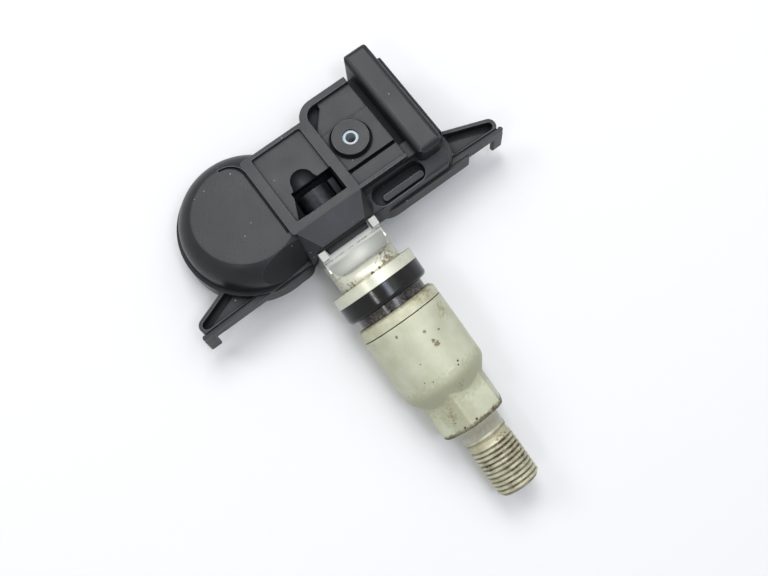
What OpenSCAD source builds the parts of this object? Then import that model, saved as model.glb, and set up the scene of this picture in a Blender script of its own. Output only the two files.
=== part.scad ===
// Clamp-in tyre pressure sensor: a moulded sensor body screwed to an aluminium tyre valve.
// Frame: the valve axis is the line x = 0, z = 0, its tip points to -Y, +Z is up.
// The origin is where the rubber grommet seats on the collar of the stem.
// The sensor body leans back from the valve axis by body_tilt, and is drawn in its own
// frame, where z = 0 passes through the origin and +Z is the normal of the label face.

/* [Sensor body] */
// Angle between the valve axis and the label face of the body
body_tilt = 16.5; // [12:0.5:22]
// Height of the label face above the origin, in the body frame
label_z = 8.5; // [8:0.1:9.5]
// Depth of the body from the label face to its open underside
body_depth = 10; // [9.6:0.1:11]
// Height of the top of the base flange above the origin
flange_z = 2.6; // [2:0.1:3.2]
// Thickness of the moulded walls
wall = 1.2; // [0.9:0.1:1.4]
// Front face of the base flange, from the origin
skirt_y = 8; // [7.8:0.1:8.4]
// Back wall behind the screw panel
back_y = 27.6; // [27:0.1:28.5]
// Back wall behind the port panel
port_back_y = 29.9; // [29.5:0.1:30.5]
// Right end of the base flange
flange_x = 23.3; // [23:0.1:24]
// Depth of the skirt's lowered top along the front
skirt_t = 0.4; // [0.3:0.05:0.6]
// Drop of that top below the flange
skirt_drop = 0.6; // [0.4:0.05:0.8]
// Thickness of the skirt's free end on the right
skirt_end_t = 1; // [0.8:0.05:1.2]

/* [Battery dome] */
// Dome centre, left of the valve axis
dome_x = 11; // [10.5:0.1:12]
// Dome centre, behind the origin
dome_y = 20; // [19.5:0.1:21]
// Radius of the flange round the dome
dome_flange_r = 12.1; // [11.9:0.1:13]
// Radius of the dome wall at the flange
dome_r = 11.4; // [11.2:0.1:11.8]
// Radius of the flat top of the dome
dome_top_r = 7.4; // [7:0.1:9]
// Height of the bulging part of the dome wall
dome_bulge_h = 4.8; // [3.8:0.1:5]
// Depth of the label field on the dome below the ribs
dome_sink = 0.35; // [0.2:0.05:0.6]
// Radius of the field's corner behind the thin rib
dome_corner_r = 3.4; // [2:0.1:4]
// Lean of the flat facet that cuts the front of the dome
facet_lean = 26; // [20:1:35]
// Turn of that facet away from the front
facet_turn = 6.3; // [0:0.1:10]
// Diameter of the button cell
cell_d = 16; // [12.5:0.5:16.5]
// Height of the button cell
cell_h = 3.2; // [2.5:0.1:3.4]
// Diameter of the step on the negative side of the cell
cell_step_d = 13.6; // [10:0.2:14]
// Height of the cell above the board
cell_lift = 2.6; // [2:0.1:2.8]

/* [Panels and ribs] */
// Thickness of the back wall behind the port panel
port_wall = 1.5; // [1.2:0.1:1.8]
// Outer radius of the corner where the rib turns into that wall
port_corner_r = 3.6; // [3:0.1:4]
// Depth of the label panels below the ribs
panel_sink = 0.45; // [0.2:0.05:0.8]
// Width of the rib between the two panels
rib_w = 1.9; // [1.4:0.1:2.4]
// Left edge of that rib, right of the valve axis
rib_x = 4.2; // [4:0.1:4.5]
// Width of the rib beside the dome
thin_rib_w = 1.75; // [1:0.05:2]
// Left edge of that rib, left of the valve axis
thin_rib_x = 7; // [6.8:0.1:7.4]
// Depth of the groove beside that rib, below the ribs
groove_d = 0.7; // [0.5:0.1:1]
// Width of that groove
groove_w = 0.45; // [0.3:0.05:0.6]

/* [Front block and shoulder] */
// Distance of the block's top edge behind the front of the skirt
block_step = 4; // [3.6:0.1:4.4]
// Left end of that edge, from the valve axis
block_left = 6.4; // [6:0.1:6.8]
// Right end of that edge
block_right = 5.9; // [5.6:0.1:6]
// Half width of the lip at the foot of the block's sloped face
lip_half = 4; // [3.6:0.1:4.4]
// Distance of the lip behind the front of the skirt
lip_step = 0.2; // [0.1:0.05:0.6]
// Depth of the lip below the label face
lip_sink = 1.5; // [1:0.1:1.8]
// Thickness of the lip
lip_t = 1.1; // [0.8:0.1:1.4]
// Depth of the shoulder below the label face, at its front edge
shoulder_sink = 4; // [3.4:0.1:4.4]
// Left end of the recess in the shoulder
recess_x = 6.9; // [6.6:0.1:7.4]
// Length of the recess
recess_len = 10; // [9:0.1:10.4]
// Width of the recess
recess_w = 3.2; // [2.6:0.1:3.4]
// Width of the ridge that stands in it
ridge_w = 1; // [0.8:0.1:1.2]

/* [Pressure port] */
// Port, right of the valve axis
port_x = 9.8; // [9.6:0.1:10.4]
// Port, behind the origin
port_y = 20; // [19.6:0.1:20.4]
// Diameter of the port boss
boss_d = 6.1; // [5:0.1:6.4]
// Height of the boss above its panel
boss_h = 0.9; // [0.5:0.1:1.2]
// Width of the sunk ring round the boss
moat_w = 0.4; // [0.2:0.05:0.6]
// Outer diameter of the port sleeve
sleeve_d = 2.6; // [2.2:0.1:3]
// Air hole through the sleeve
sleeve_hole_d = 1.7; // [1:0.1:1.8]
// Clearance between the sleeve and its hole
sleeve_gap = 0.03; // [0.01:0.01:0.06]

/* [Coil bar] */
// Left edge of the raised bar
bar_x = 16.7; // [16.6:0.1:17.2]
// Width of the bar
bar_w = 4.7; // [4.4:0.1:5]
// Thickness of the bar's walls
bar_wall = 0.8; // [0.7:0.05:1]
// Front end of the bar
bar_y = 10.7; // [10.4:0.1:11.2]
// Length of the bar
bar_len = 21.5; // [20:0.1:22]
// Height of the bar above the label face
bar_h = 1; // [0.6:0.1:1.5]
// Radius of its long edges
bar_edge = 0.9; // [0.5:0.1:1.2]
// Depth of the trench left of the bar
trench_d = 2.2; // [1.5:0.1:2.6]
// Left edge of the trench
trench_x = 15.2; // [15:0.1:15.6]

/* [Arms] */
// Middle of the two arms, right of the valve axis
arm_mid_x = 2.15; // [1.9:0.05:2.4]
// Span over the tips of the arms
arm_span = 60; // [59:0.5:62]
// Front face of the arms at their tips
arm_y = 8.3; // [8.1:0.1:8.6]
// How far that face lies further back at the root
arm_set_back = 0.2; // [0.1:0.1:1]
// Thickness of the rear wall of an arm
arm_wall = 0.6; // [0.5:0.05:0.8]
// Thickness of its front wall
arm_front_w = 1.1; // [0.8:0.05:1.3]
// Height of the front wall
arm_front_z = 2.2; // [1.8:0.1:2.5]
// Height of the trough's floor between them
arm_floor_z = 1.6; // [1.4:0.1:1.8]
// Width of the slot along the rear wall
arm_slot_w = 1.2; // [0.8:0.1:1.3]
// Length of that slot
arm_slot_len = 6.6; // [6:0.1:7]
// Height of the slot's floor
arm_slot_z = 1; // [1:0.1:1.3]
// Radius of the rear wall's rounded end
arm_eye_r = 1.35; // [1.2:0.05:1.5]
// Radius of the front wall's rounded end
arm_nose_r = 0.45; // [0.4:0.05:0.5]
// Turn of the rear wall from the length of the arm
arm_rear_turn = 20.5; // [18:0.1:24]
// Underside of the arms at their tips
arm_low_z = 0.5; // [0.2:0.1:0.6]
// How far the underside lies lower at the root
arm_taper = 0.3; // [0:0.1:1]
// Width of a foot
foot_w = 2.1; // [1.8:0.1:3]
// How far the feet reach below the origin
foot_drop = 3.8; // [3:0.1:4.2]

/* [Screw] */
// Diameter of the screw head
head_d = 5.6; // [5:0.1:6]
// Height of the screw head
head_h = 3; // [2:0.1:3.4]
// Distance from the origin back to the face under the head
head_seat = 15.3; // [15:0.1:15.8]
// Thread diameter of the screw
screw_d = 3; // [2.5:0.1:3.2]
// Length of the screw under the head
screw_len = 8.8; // [8:0.1:9]
// Radial clearance round the screw in the body
screw_gap = 0.15; // [0.1:0.05:0.3]
// Radial clearance of the screw in its thread
thread_gap = 0.02; // [0.01:0.01:0.05]
// Radius of the rounded end of the driver's scoop
scoop_r = 2.1; // [1.8:0.1:2.4]
// Length of the scoop before that end
scoop_len = 5.3; // [4.6:0.1:5.6]
// Room behind the head for the driver
driver_room = 1.4; // [1:0.1:1.8]

/* [Valve stem] */
// Diameter of the neck behind the collar
neck_d = 11.2; // [10.8:0.1:11.4]
// Length of the neck with the collar
neck_len = 7.6; // [7.4:0.1:7.8]
// Diameter of the collar
collar_d = 15.1; // [14:0.1:16]
// Thickness of the collar
collar_t = 1.9; // [1.5:0.1:2.4]
// Diameter of the threaded shank that the nut runs on
shank_d = 9; // [8.8:0.1:9.4]
// Length of that shank from the collar
shank_len = 19.5; // [18:0.1:19.8]
// Diameter of the plain end of the stem
plain_d = 7.6; // [7.2:0.1:7.6]
// Outer diameter of the cap thread
cap_thread_d = 7.7; // [7.6:0.05:7.75]
// Length of the cap thread
cap_thread_len = 8.9; // [8:0.1:9.2]
// Distance from the collar to the tip
stem_len = 39.9; // [39:0.1:41]
// Width of the block at the foot of the stem
block_w = 11; // [10.6:0.1:11.2]
// Depth of that block below the axis
block_h = 3.2; // [3:0.1:3.4]
// Length of that block behind the neck
block_len = 3.7; // [3.5:0.1:4]
// Radius of the milled saddle across the neck
saddle_r = 2.9; // [2.6:0.1:3.2]
// Height of the flat behind the saddle above the axis
flat_z = 2.1; // [2:0.05:2.3]
// Height of the ears above that flat
ear_h = 1.3; // [1:0.1:1.5]
// Width of an ear
ear_w = 1.3; // [1:0.1:1.6]
// Length of an ear
ear_len = 1.5; // [1.2:0.1:1.7]
// Thickness of the body's tongue above that flat
tongue_t = 0.5; // [0.4:0.05:0.6]
// Clearance round the foot of the stem in the body
mouth_gap = 0.05; // [0.04:0.01:0.08]
// Diameter of the air passage behind the valve core
air_d = 2.6; // [2:0.1:3]

/* [Seal and nut] */
// Thickness of the wide part of the grommet
grommet_t = 3.05; // [2.5:0.05:3.5]
// Diameter of the wide part of the grommet
grommet_d = 15; // [14:0.1:15.5]
// Diameter of the grommet's nose
nose_d = 12.2; // [11:0.1:12.6]
// Length of the nose
nose_len = 1.6; // [1.2:0.1:2.2]
// Thickness of the washer under the nut
washer_t = 2; // [1.5:0.1:2.4]
// Diameter of the washer under the nut
washer_d = 14.6; // [14:0.1:15]
// Diameter of the nut's sleeve at the washer
nut_d = 14.7; // [14:0.1:15]
// Length of the nut's sleeve
nut_sleeve_len = 11.3; // [11:0.1:12]
// Length of the nut's conical shoulder
nut_shoulder_len = 3.3; // [3:0.1:3.6]
// Hexagon across its flats
hex_af = 10.9; // [10.6:0.1:12]
// Turn of the hexagon from a corner straight up
hex_turn = 15; // [0:1:60]
// Length of the hexagon
hex_len = 5.7; // [5:0.1:6]
// Radial clearance between the nut and the shank
nut_gap = 0.04; // [0.02:0.01:0.08]
// Gap between faces that only touch
face_gap = 0.02; // [0.01:0.01:0.05]

/* [Valve core] */
// Diameter of the core's threaded head
core_head_d = 5.2; // [5:0.05:5.3]
// Length of that head
core_head_len = 4; // [3.5:0.1:4.5]
// Diameter of the core's barrel
core_barrel_d = 3.2; // [3:0.05:3.3]
// Length of the barrel
core_barrel_len = 7.2; // [6.5:0.1:8]
// Distance of the core's head below the tip of the stem
core_sink = 1.3; // [1:0.1:1.6]
// Diameter of the core's pin
pin_d = 0.9; // [0.8:0.05:1]
// Diameter of the passage through the core
core_hole_d = 2.2; // [2.1:0.05:2.4]
// Clearance between the head and the stem
core_gap = 0.04; // [0.02:0.01:0.06]
// Wire of the core's spring
wire_d = 0.24; // [0.2:0.02:0.28]
// Turns of the core's spring
spring_turns = 7; // [5:1:8]

/* [Inside the body] */
// Thickness of the circuit board
board_t = 0.8; // [0.6:0.1:1]
// Depth of potting resin under the board
resin_t = 0.9; // [0.7:0.05:1.1]
// Height of the pressure sensor package
chip_h = 3.5; // [3:0.1:3.8]
// Width of that package
chip_w = 6; // [5.4:0.1:6.4]
// Length of that package
chip_len = 7.2; // [6.4:0.1:7.6]
// Thickness of its metal lid
lid_t = 0.3; // [0.2:0.05:0.4]
// Thickness of the battery tabs
tab_t = 0.25; // [0.15:0.05:0.3]
// Width of the battery tabs
tab_w = 3; // [2.6:0.1:3.6]
// Half the distance between the feet of the lower tab
tab_half = 5.5; // [5:0.1:6]
// Width, length and height of the crystal
crystal_size = [3.2, 2, 0.9];
// Width, length and height of a small part on the board
passive_size = [1.2, 0.7, 0.6];
// Distance from one small part to the next
passive_pitch = 2; // [1.6:0.1:2.2]
// Length of the coil's ferrite core
coil_len = 12; // [10:0.5:13]
// Distance from the end of the bar to that core
coil_set = 3; // [2.6:0.1:3.4]
// Thickness of the core's two cheeks
coil_cheek_t = 1; // [0.8:0.1:1.2]
// Depth of the winding's room in the core
coil_depth = 0.5; // [0.4:0.05:0.7]

/* [Hidden] */
fine = 96;
small = 48;
eps = 0.01;

black_plastic = "#2e3033";
resin_colour = "#26282a";
board_green = "#1f5a3a";
steel_grey = "#b5b8ba";
aluminium_grey = "#c3c5b2";
rubber_black = "#18191b";
brass_yellow = "#c9a55a";

base_z = label_z - body_depth;
dome_c = [-dome_x, dome_y];
// Where the block behind the neck ends and its wall in the body begins.
block_end = neck_len + block_len;
mouth_s = neck_len + 0.65;
head_end = head_seat + head_h;
plain_start = shank_len + (shank_d - plain_d) / 2 + 0.1;
thread_start = stem_len - cap_thread_len;
washer_s = grommet_t + nose_len + face_gap;
nut_s = washer_s + washer_t + face_gap;
nut_shoulder_s = nut_s + nut_sleeve_len;
nut_hex_s = nut_shoulder_s + nut_shoulder_len;
nut_end_s = nut_hex_s + hex_len;
nut_throat_d = cap_thread_d + 0.4;
neck_saddle_s = neck_len - 0.7;
ear_s = neck_len + 0.2;
block_y = skirt_y + block_step;
screw_depth = block_end - head_seat + screw_len + 0.5;
core_top = stem_len - core_sink;
core_neck = core_top - core_head_len;
core_bottom = core_neck - core_barrel_len;
core_seat_len = 0.9;
spring_seat = core_bottom + 1;
spring_top = core_top - 0.9;
seal_len = 1.8;
board_top = base_z + 0.2 + resin_t + board_t;
board_low = board_top - board_t;
cell_z = board_top + cell_lift;
coil_x = bar_x + bar_w / 2;
coil_y = bar_y + coil_set;
coil_w = bar_w - 2 * bar_wall - 0.2;
arm_root = 21;
mouth_w = block_w / 2 + 0.7;

// Turns the body frame into the frame of the valve.
module body_frame() {
    rotate([-body_tilt, 0, 0]) children();
}

// Draws a turned shape with its axis on the valve axis, s being the distance from the
// collar towards the tip.
module on_axis(s = 0) {
    translate([0, -s, 0]) rotate([90, 0, 0]) children();
}

// Rectangle from (x0, y0) to (x1, y1) with corners of radius r, as true arcs.
module round_rect(x0, y0, x1, y1, r) {
    translate([x0 + r, y0]) square([x1 - x0 - 2 * r, y1 - y0]);
    translate([x0, y0 + r]) square([x1 - x0, y1 - y0 - 2 * r]);
    for (x = [x0 + r, x1 - r], y = [y0 + r, y1 - r])
        translate([x, y]) circle(r, $fn = small);
}

// Rectangle from (x0, y0) to (x1, y1) whose corner at (x0, y1) alone is rounded.
module corner_rect(x0, y0, x1, y1, r) {
    translate([x0, y0]) square([x1 - x0, y1 - y0 - r]);
    translate([x0 + r, y0]) square([x1 - x0 - r, y1 - y0]);
    translate([x0 + r, y1 - r]) circle(r, $fn = small);
}

// Box from corner a to corner b.
module box(a, b) {
    translate(a) cube(b - a);
}

// Outline of the body seen on its label face, drawn in by the distance i. The front edge
// swings back on both sides of the stem.
module base_plan(i = 0) {
    translate(dome_c) circle(dome_flange_r - i, $fn = fine);
    round_rect(-dome_x - 2, skirt_y + i, -mouth_w + 0.4 - i, back_y - i, 2.4 - i);
    round_rect(-dome_x - 2, skirt_y + 1.2 + i, flange_x - 2 - i, back_y - i, 1 - i / 2);
    round_rect(mouth_w - 0.2 + i, skirt_y + i, flange_x - i, back_y - i, 4.2 - i);
    corner_rect(rib_x + i, skirt_y + 5.5 + i, flange_x - i, port_back_y - i, port_corner_r + 0.3 - i);
}

// Open underside of the body with its flange, stepped along the front edge.
module base_flange() {
    difference() {
        translate([0, 0, base_z]) linear_extrude(flange_z - base_z) base_plan();
        box([-dome_x - dome_flange_r, 0, flange_z - skirt_drop],
            [flange_x, skirt_y + skirt_t, flange_z + 1]);
    }
    // The skirt runs on past the flange.
    translate([0, 0, base_z]) linear_extrude(flange_z - skirt_drop - base_z)
        round_rect(flange_x - 6, skirt_y, flange_x + 1.7, skirt_y + skirt_end_t, skirt_end_t / 2 - eps);
}

// Button-shaped cover of the battery: a flat top, a crease and a wall that bulges out. A flat
// facet that starts at the corner of the front block cuts the bulge.
module dome_solid() {
    step = dome_r - dome_top_r;
    bulge_r = (step * step + dome_bulge_h * dome_bulge_h) / (2 * step);
    low = flange_z - eps;
    left = -dome_x - dome_r;
    right = 1 - block_left;
    function facet(x, z) = [x, block_y + tan(facet_turn) * (x + block_left)
        + tan(facet_lean) * (z - label_z), z];
    difference() {
        translate([dome_c[0], dome_c[1], 0])
            rotate_extrude($fn = fine) {
                translate([0, low]) square([dome_r, label_z - dome_bulge_h - low]);
                translate([0, low]) square([dome_top_r, label_z - low]);
                intersection() {
                    translate([dome_r - bulge_r, label_z - dome_bulge_h]) circle(bulge_r, $fn = fine);
                    translate([0, low]) square([dome_r + 1, label_z - low]);
                }
            }
        polyhedron([facet(left, flange_z), facet(right, flange_z), facet(right, label_z + 1),
            facet(left, label_z + 1), [left, 0, flange_z], [right, 0, flange_z],
            [right, 0, label_z + 1], [left, 0, label_z + 1]],
            [[0, 1, 2, 3], [7, 6, 5, 4], [4, 5, 1, 0], [5, 6, 2, 1], [6, 7, 3, 2], [7, 4, 0, 3]]);
    }
}

// Raised blocks under the two label panels.
module panel_blocks() {
    low = flange_z - eps;
    translate([0, 0, low]) linear_extrude(label_z - low) {
        round_rect(-thin_rib_x, block_y, rib_x + rib_w, back_y - 0.4, 0.5);
        corner_rect(rib_x + 0.4, block_y, trench_x, port_back_y - 0.4, port_corner_r);
    }
    // The floor of the trench joins the port panel to the bar.
    box([trench_x - 1, bar_y + 0.6, low], [bar_x + 1, port_back_y - 0.4, label_z - trench_d]);
    // The front end of the trench is closed by the ledge.
    box([trench_x - 1, bar_y + 1.2, low], [bar_x + 1, bar_y + 2, label_z - 0.8]);
}

// Long raised bar over the coil, rounded along its edges and at its corners.
module coil_bar() {
    top = label_z + bar_h;
    low = base_z + 1;
    end_r = 1.2;
    intersection() {
        translate([0, bar_y, 0]) rotate([90, 0, 0]) translate([0, 0, -bar_len])
            linear_extrude(bar_len)
                union() {
                    round_rect(bar_x, low, bar_x + bar_w, top, bar_edge);
                    translate([bar_x, low]) square([bar_w, bar_h + 4]);
                }
        rotate([90, 0, 90]) translate([0, 0, bar_x - 1])
            linear_extrude(bar_w + 2)
                union() {
                    round_rect(bar_y, low, bar_y + bar_len, top, bar_edge);
                    translate([bar_y, low]) square([bar_len, 4]);
                }
        translate([0, 0, low]) linear_extrude(top - low + 1)
            round_rect(bar_x, bar_y, bar_x + bar_w, bar_y + bar_len, end_r);
    }
    // Lower shoulder along the outer side of the bar.
    side = flange_x - 0.3;
    translate([0, port_back_y + 0.3, 0]) rotate([90, 0, 0])
        linear_extrude(port_back_y - bar_y - 2.4)
            union() {
                round_rect(bar_x + 1, low, side, label_z - 3, 0.8);
                translate([bar_x + 1, low]) square([side - bar_x - 1, 3]);
            }
}

// Sloped shoulder between the port panel and the front skirt, with its blended edge.
module front_shoulder() {
    crest_z = label_z - 0.8;
    rise_z = label_z - 2.7;
    edge_z = label_z - shoulder_sink;
    edge_y = skirt_y + 0.35;
    end_r = 1.4;
    end_x = bar_x + bar_w;
    intersection() {
        rotate([90, 0, 90]) translate([0, 0, rib_x - 1])
            linear_extrude(end_x - rib_x + 1)
                polygon([[edge_y, base_z + 1], [block_y + 2.6, base_z + 1],
                    [block_y + 2.6, crest_z], [block_y + 0.6, crest_z],
                    [block_y - 0.5, rise_z], [edge_y + 0.5, edge_z + 0.35],
                    [edge_y + 0.15, edge_z + 0.2], [edge_y, edge_z]]);
        translate([0, 0, base_z]) linear_extrude(label_z - base_z)
            union() {
                round_rect(rib_x - 1, skirt_y + 0.2, end_x, port_back_y - 1, end_r);
                translate([rib_x - 1, skirt_y + 0.2]) square([2 * end_r, 2 * end_r]);
            }
    }
}

// Obround recess in the shoulder, in which a ridge stands.
module ridge_groove() {
    floor_z = label_z - shoulder_sink - 0.4;
    y = skirt_y + 2.1;
    module obround(x, len, y, w) {
        for (end = [x + w / 2, x + len - w / 2]) translate([end, y]) circle(w / 2, $fn = small);
        translate([x + w / 2, y - w / 2]) square([len - w, w]);
    }
    translate([0, 0, floor_z]) linear_extrude(shoulder_sink)
        difference() {
            obround(recess_x, recess_len, y, recess_w);
            obround(recess_x + 1.6, recess_len - 2.2, y - 0.65, ridge_w);
        }
}

// Block that slopes forward over the foot of the stem and ends in a straight lip.
module front_block() {
    low = flange_z - eps;
    lip_y = skirt_y + lip_step;
    lip_z = label_z - lip_sink;
    hull() {
        box([-block_left, block_y, low], [block_right, block_y + 0.2, label_z]);
        box([-lip_half - 0.2, lip_y, lip_z - 0.2], [lip_half - 0.2, lip_y + 0.1, lip_z]);
        box([-lip_half - 0.2, lip_y - 0.3, lip_z - lip_t], [lip_half - 0.2, lip_y, lip_z - lip_t + 0.2]);
        box([-block_left - 0.3, skirt_y + 0.1, low], [block_right + 1, block_y, low + 0.1]);
    }
}

// One arm, drawn to the right of the middle of the arms: a trough with a slot in it,
// between a rear wall with a round eye and a lower front wall, and a foot below the tip.
module arm() {
    tip = arm_span / 2;
    inner = arm_root - 4;
    low = base_z - 1;
    slope = tan(arm_rear_turn);
    out = [sin(arm_rear_turn), cos(arm_rear_turn)];
    eye = [tip - arm_eye_r - 0.5, arm_y + arm_eye_r + 0.55];
    nose = [tip - arm_nose_r, arm_y + arm_nose_r];
    front = arm_y + arm_set_back;
    // Plan behind the front wall, within a distance i of the eye's own radius.
    module rear_plan(i, from, to) {
        at = eye + (arm_eye_r - i) * out;
        translate(eye) circle(arm_eye_r - i, $fn = small);
        polygon([[inner, from], [eye[0], to], eye, at, [inner, at[1] + (at[0] - inner) * slope]]);
    }
    difference() {
        intersection() {
            translate([0, 2 * eye[1], 0]) rotate([90, 0, 0]) linear_extrude(2 * eye[1])
                polygon([[inner, arm_low_z - arm_taper], [tip + 1, arm_low_z],
                    [tip + 1, flange_z], [inner, flange_z]]);
            translate([0, 0, low]) linear_extrude(flange_z - low) {
                rear_plan(0, front, arm_y);
                translate(nose) circle(arm_nose_r, $fn = small);
                polygon([[inner, front], [nose[0], arm_y], nose, eye]);
            }
        }
        // Lower top of the front wall.
        translate([0, 0, arm_front_z]) linear_extrude(flange_z)
            polygon([[inner - 1, 0], [tip + 1, 0], [tip + 1, nose[1] + arm_nose_r],
                [nose[0] - 0.8, nose[1] + arm_nose_r], [inner - 1, front + arm_front_w]]);
        // Trough and slot.
        translate([0, 0, arm_floor_z]) linear_extrude(flange_z)
            rear_plan(arm_wall, front + arm_front_w, arm_y + arm_front_w);
        translate([0, 0, arm_slot_z]) linear_extrude(flange_z)
            translate(eye) rotate(-arm_rear_turn)
                translate([0, arm_eye_r - arm_wall - arm_slot_w / 2]) {
                    circle(d = arm_slot_w, $fn = small);
                    translate([-arm_slot_len, 0]) circle(d = arm_slot_w, $fn = small);
                    translate([-arm_slot_len, -arm_slot_w / 2]) square([arm_slot_len, arm_slot_w]);
                }
    }
    translate([0, 0, -foot_drop]) linear_extrude(foot_drop + arm_low_z + 0.4)
        round_rect(tip - foot_w, arm_y, tip, arm_y + 2 * arm_nose_r, 0.3);
}

// Room for the cell, the board and its parts, open to the underside.
module inner_room() {
    low = base_z - 1;
    module room_plan(i) {
        difference() {
            base_plan(wall + i);
            // Walls round the stem's block and the screw pocket are left standing.
            translate([-block_w / 2 - wall - 0.1, 0])
                square([block_w + 2 * wall + 0.2, block_end + 2.6]);
        }
    }
    translate([0, 0, low]) linear_extrude(board_top - low) room_plan(0);
    // Bay of the cell.
    translate([dome_c[0], dome_c[1], low])
        cylinder(r = cell_d / 2 + 0.4, h = cell_z + cell_h + 0.35 - low, $fn = fine);
    // Room for the strip beside the cell.
    box([dome_c[0] - 1.9, dome_y + 6, low],
        [dome_c[0] + 1.9, dome_y + cell_d / 2 + 0.7, cell_z + cell_h + tab_t + 0.1]);
    // Bay behind the screw pocket.
    box([-2, head_end + driver_room + 2.6, low],
        [port_x, back_y - wall - 0.8, label_z - panel_sink - wall]);
    // Bay under the port panel.
    box([rib_x + rib_w, skirt_y + wall + 5.2, low],
        [trench_x - 0.9, port_back_y - wall - 1, label_z - panel_sink - wall - 0.4]);
    // Bay under the coil bar.
    box([bar_x + bar_wall, bar_y + 1.6, low],
        [bar_x + bar_w - bar_wall, bar_y + bar_len - 2.8, label_z + bar_h - bar_wall - 0.1]);
}

// Pocket for the screw head, square to the valve axis, with the driver's scoop behind it.
module screw_pocket() {
    left = head_d / 2 + 0.5;
    right = head_d / 2 + 1.6;
    box([-left, head_seat, -head_d / 2 - 0.35], [right, head_end + driver_room, 12]);
    on_axis(-block_end + eps) rotate([0, 180, 0])
        cylinder(d = screw_d + 2 * screw_gap, h = head_seat - block_end + 1, $fn = small);
    body_frame() translate([-0.5, skirt_y + 5.6, label_z + 0.1]) rotate([-90, 0, 0]) {
        cylinder(r1 = 4.4, r2 = scoop_r, h = scoop_len, $fn = small);
        translate([0, 0, scoop_len]) sphere(scoop_r, $fn = small);
    }
}

// Cut for the foot of the stem: the mouth, the block's seat, and under the lip the room for
// its ears, with a low tongue left between them.
module stem_mouth() {
    g = mouth_gap;
    w = block_w / 2 + g;
    ear_top = flat_z + ear_h + g;
    tongue_z = flat_z + tongue_t;
    box([-mouth_w, -5, -12], [mouth_w, mouth_s, tongue_z]);
    box([-w, 0, -block_h - g], [w, block_end, flat_z + g]);
    box([-w, -5, tongue_z], [w, ear_s + ear_len + 0.1, ear_top + 0.1]);
    for (side = [-1, 1])
        box([side > 0 ? w - ear_w - 0.3 : -w, -5, 0],
            [side > 0 ? w : ear_w + 0.3 - w, ear_s + ear_len + 0.1, tongue_z + eps]);
}

module housing() {
    color(black_plastic)
    difference() {
        union() {
            body_frame() {
                difference() {
                    union() {
                        base_flange();
                        dome_solid();
                        panel_blocks();
                        coil_bar();
                        front_shoulder();
                        front_block();
                        translate([arm_mid_x, 0, 0]) arm();
                        translate([arm_mid_x, 0, 0]) mirror([1, 0, 0]) arm();
                    }
                    ridge_groove();
                    label_panels();
                    inner_room();
                }
                port_boss();
            }
            // Tongue that lies on the flat of the stem between its ears.
            box([ear_w + 0.35 - block_w / 2, mouth_s, flat_z + mouth_gap],
                [block_w / 2 - ear_w - 0.35, block_end, flat_z + tongue_t]);
        }
        screw_pocket();
        stem_mouth();
        body_frame() port_hole();
    }
    // Keeper beside the screw head.
    color(black_plastic)
        box([head_d / 2 + 0.1, head_seat - eps, -1], [head_d / 2 + 1.2, head_end, 1.2]);
}

// Sunk panels, the fine groove beside the dome and the step before the port.
module label_panels() {
    top = label_z - panel_sink;
    translate([0, 0, top]) linear_extrude(4) {
        round_rect(-thin_rib_x + thin_rib_w, block_y + 1.5, rib_x, back_y - 1.1, 0.4);
        corner_rect(rib_x + rib_w, skirt_y + 4.6, bar_x, port_back_y - port_wall, port_corner_r - 1.4);
    }
    // The panel lies deeper behind the port plateau, with a hollow in its corner.
    translate([0, 0, top - 0.15]) linear_extrude(1)
        corner_rect(rib_x + rib_w, port_y + 3.2, bar_x, port_back_y - port_wall, port_corner_r - 1.4);
    translate([0, 0, top - 1.1]) linear_extrude(2) intersection() {
        corner_rect(rib_x + rib_w, port_y, trench_x, port_back_y - port_wall, port_corner_r - 1.4);
        translate([rib_x, port_y + 2]) polygon([[0, 0], [4.7, 5.4], [5, 9], [0, 9]]);
    }
    // Moat round the port boss.
    translate([port_x, port_y, label_z - panel_sink - 0.5])
        cylinder(d = boss_d + 2 * moat_w, h = 2, $fn = small);
    // Step before the port plateau.
    box([rib_x + rib_w, port_y - 4.9, label_z - 1.7], [trench_x + 0.2, port_y - 4.2, label_z + 1]);
    // Label field of the dome, and the groove between it and the rib.
    module field(i) {
        mirror([1, 0]) corner_rect(thin_rib_x + i, 0, dome_x + dome_r,
            dome_y + dome_top_r + 1.1 - i, dome_corner_r - i);
    }
    translate([0, 0, label_z - dome_sink]) linear_extrude(1) field(0);
    translate([0, 0, label_z - groove_d]) linear_extrude(1) intersection() {
        difference() {
            field(0);
            field(groove_w);
        }
        translate([-thin_rib_x - dome_corner_r, block_y + 1]) square(dome_y);
    }
}

// Raised ring that the port sleeve opens in.
module port_boss() {
    low = label_z - panel_sink - 0.5 - eps;
    translate([port_x, port_y, low])
        cylinder(d = boss_d, h = boss_h + 0.5 + eps, $fn = small);
}

module port_hole() {
    translate([port_x, port_y, board_top + 1])
        cylinder(d = sleeve_d + 2 * sleeve_gap, h = 12, $fn = small);
}

// Outline of the board, which the resin under it shares.
module board_plan(i) {
    difference() {
        base_plan(wall + i);
        translate([-block_w / 2 - wall - 0.1 - i, 0])
            square([block_w + 2 * wall + 0.2 + 2 * i, block_end + 2.6 + i]);
    }
}

module potting_resin() {
    color(resin_colour) body_frame()
        translate([0, 0, base_z + 0.2]) linear_extrude(resin_t) board_plan(0.02);
}

module circuit_board() {
    color(board_green) body_frame()
        translate([0, 0, board_low]) linear_extrude(board_t - 0.02) board_plan(0.1);
}

module battery_cell() {
    color(steel_grey) body_frame() translate([dome_c[0], dome_c[1], cell_z]) {
        cylinder(d = cell_step_d, h = cell_h, $fn = fine);
        translate([0, 0, 0.6]) cylinder(d = cell_d, h = cell_h - 0.6, $fn = fine);
    }
}

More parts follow.
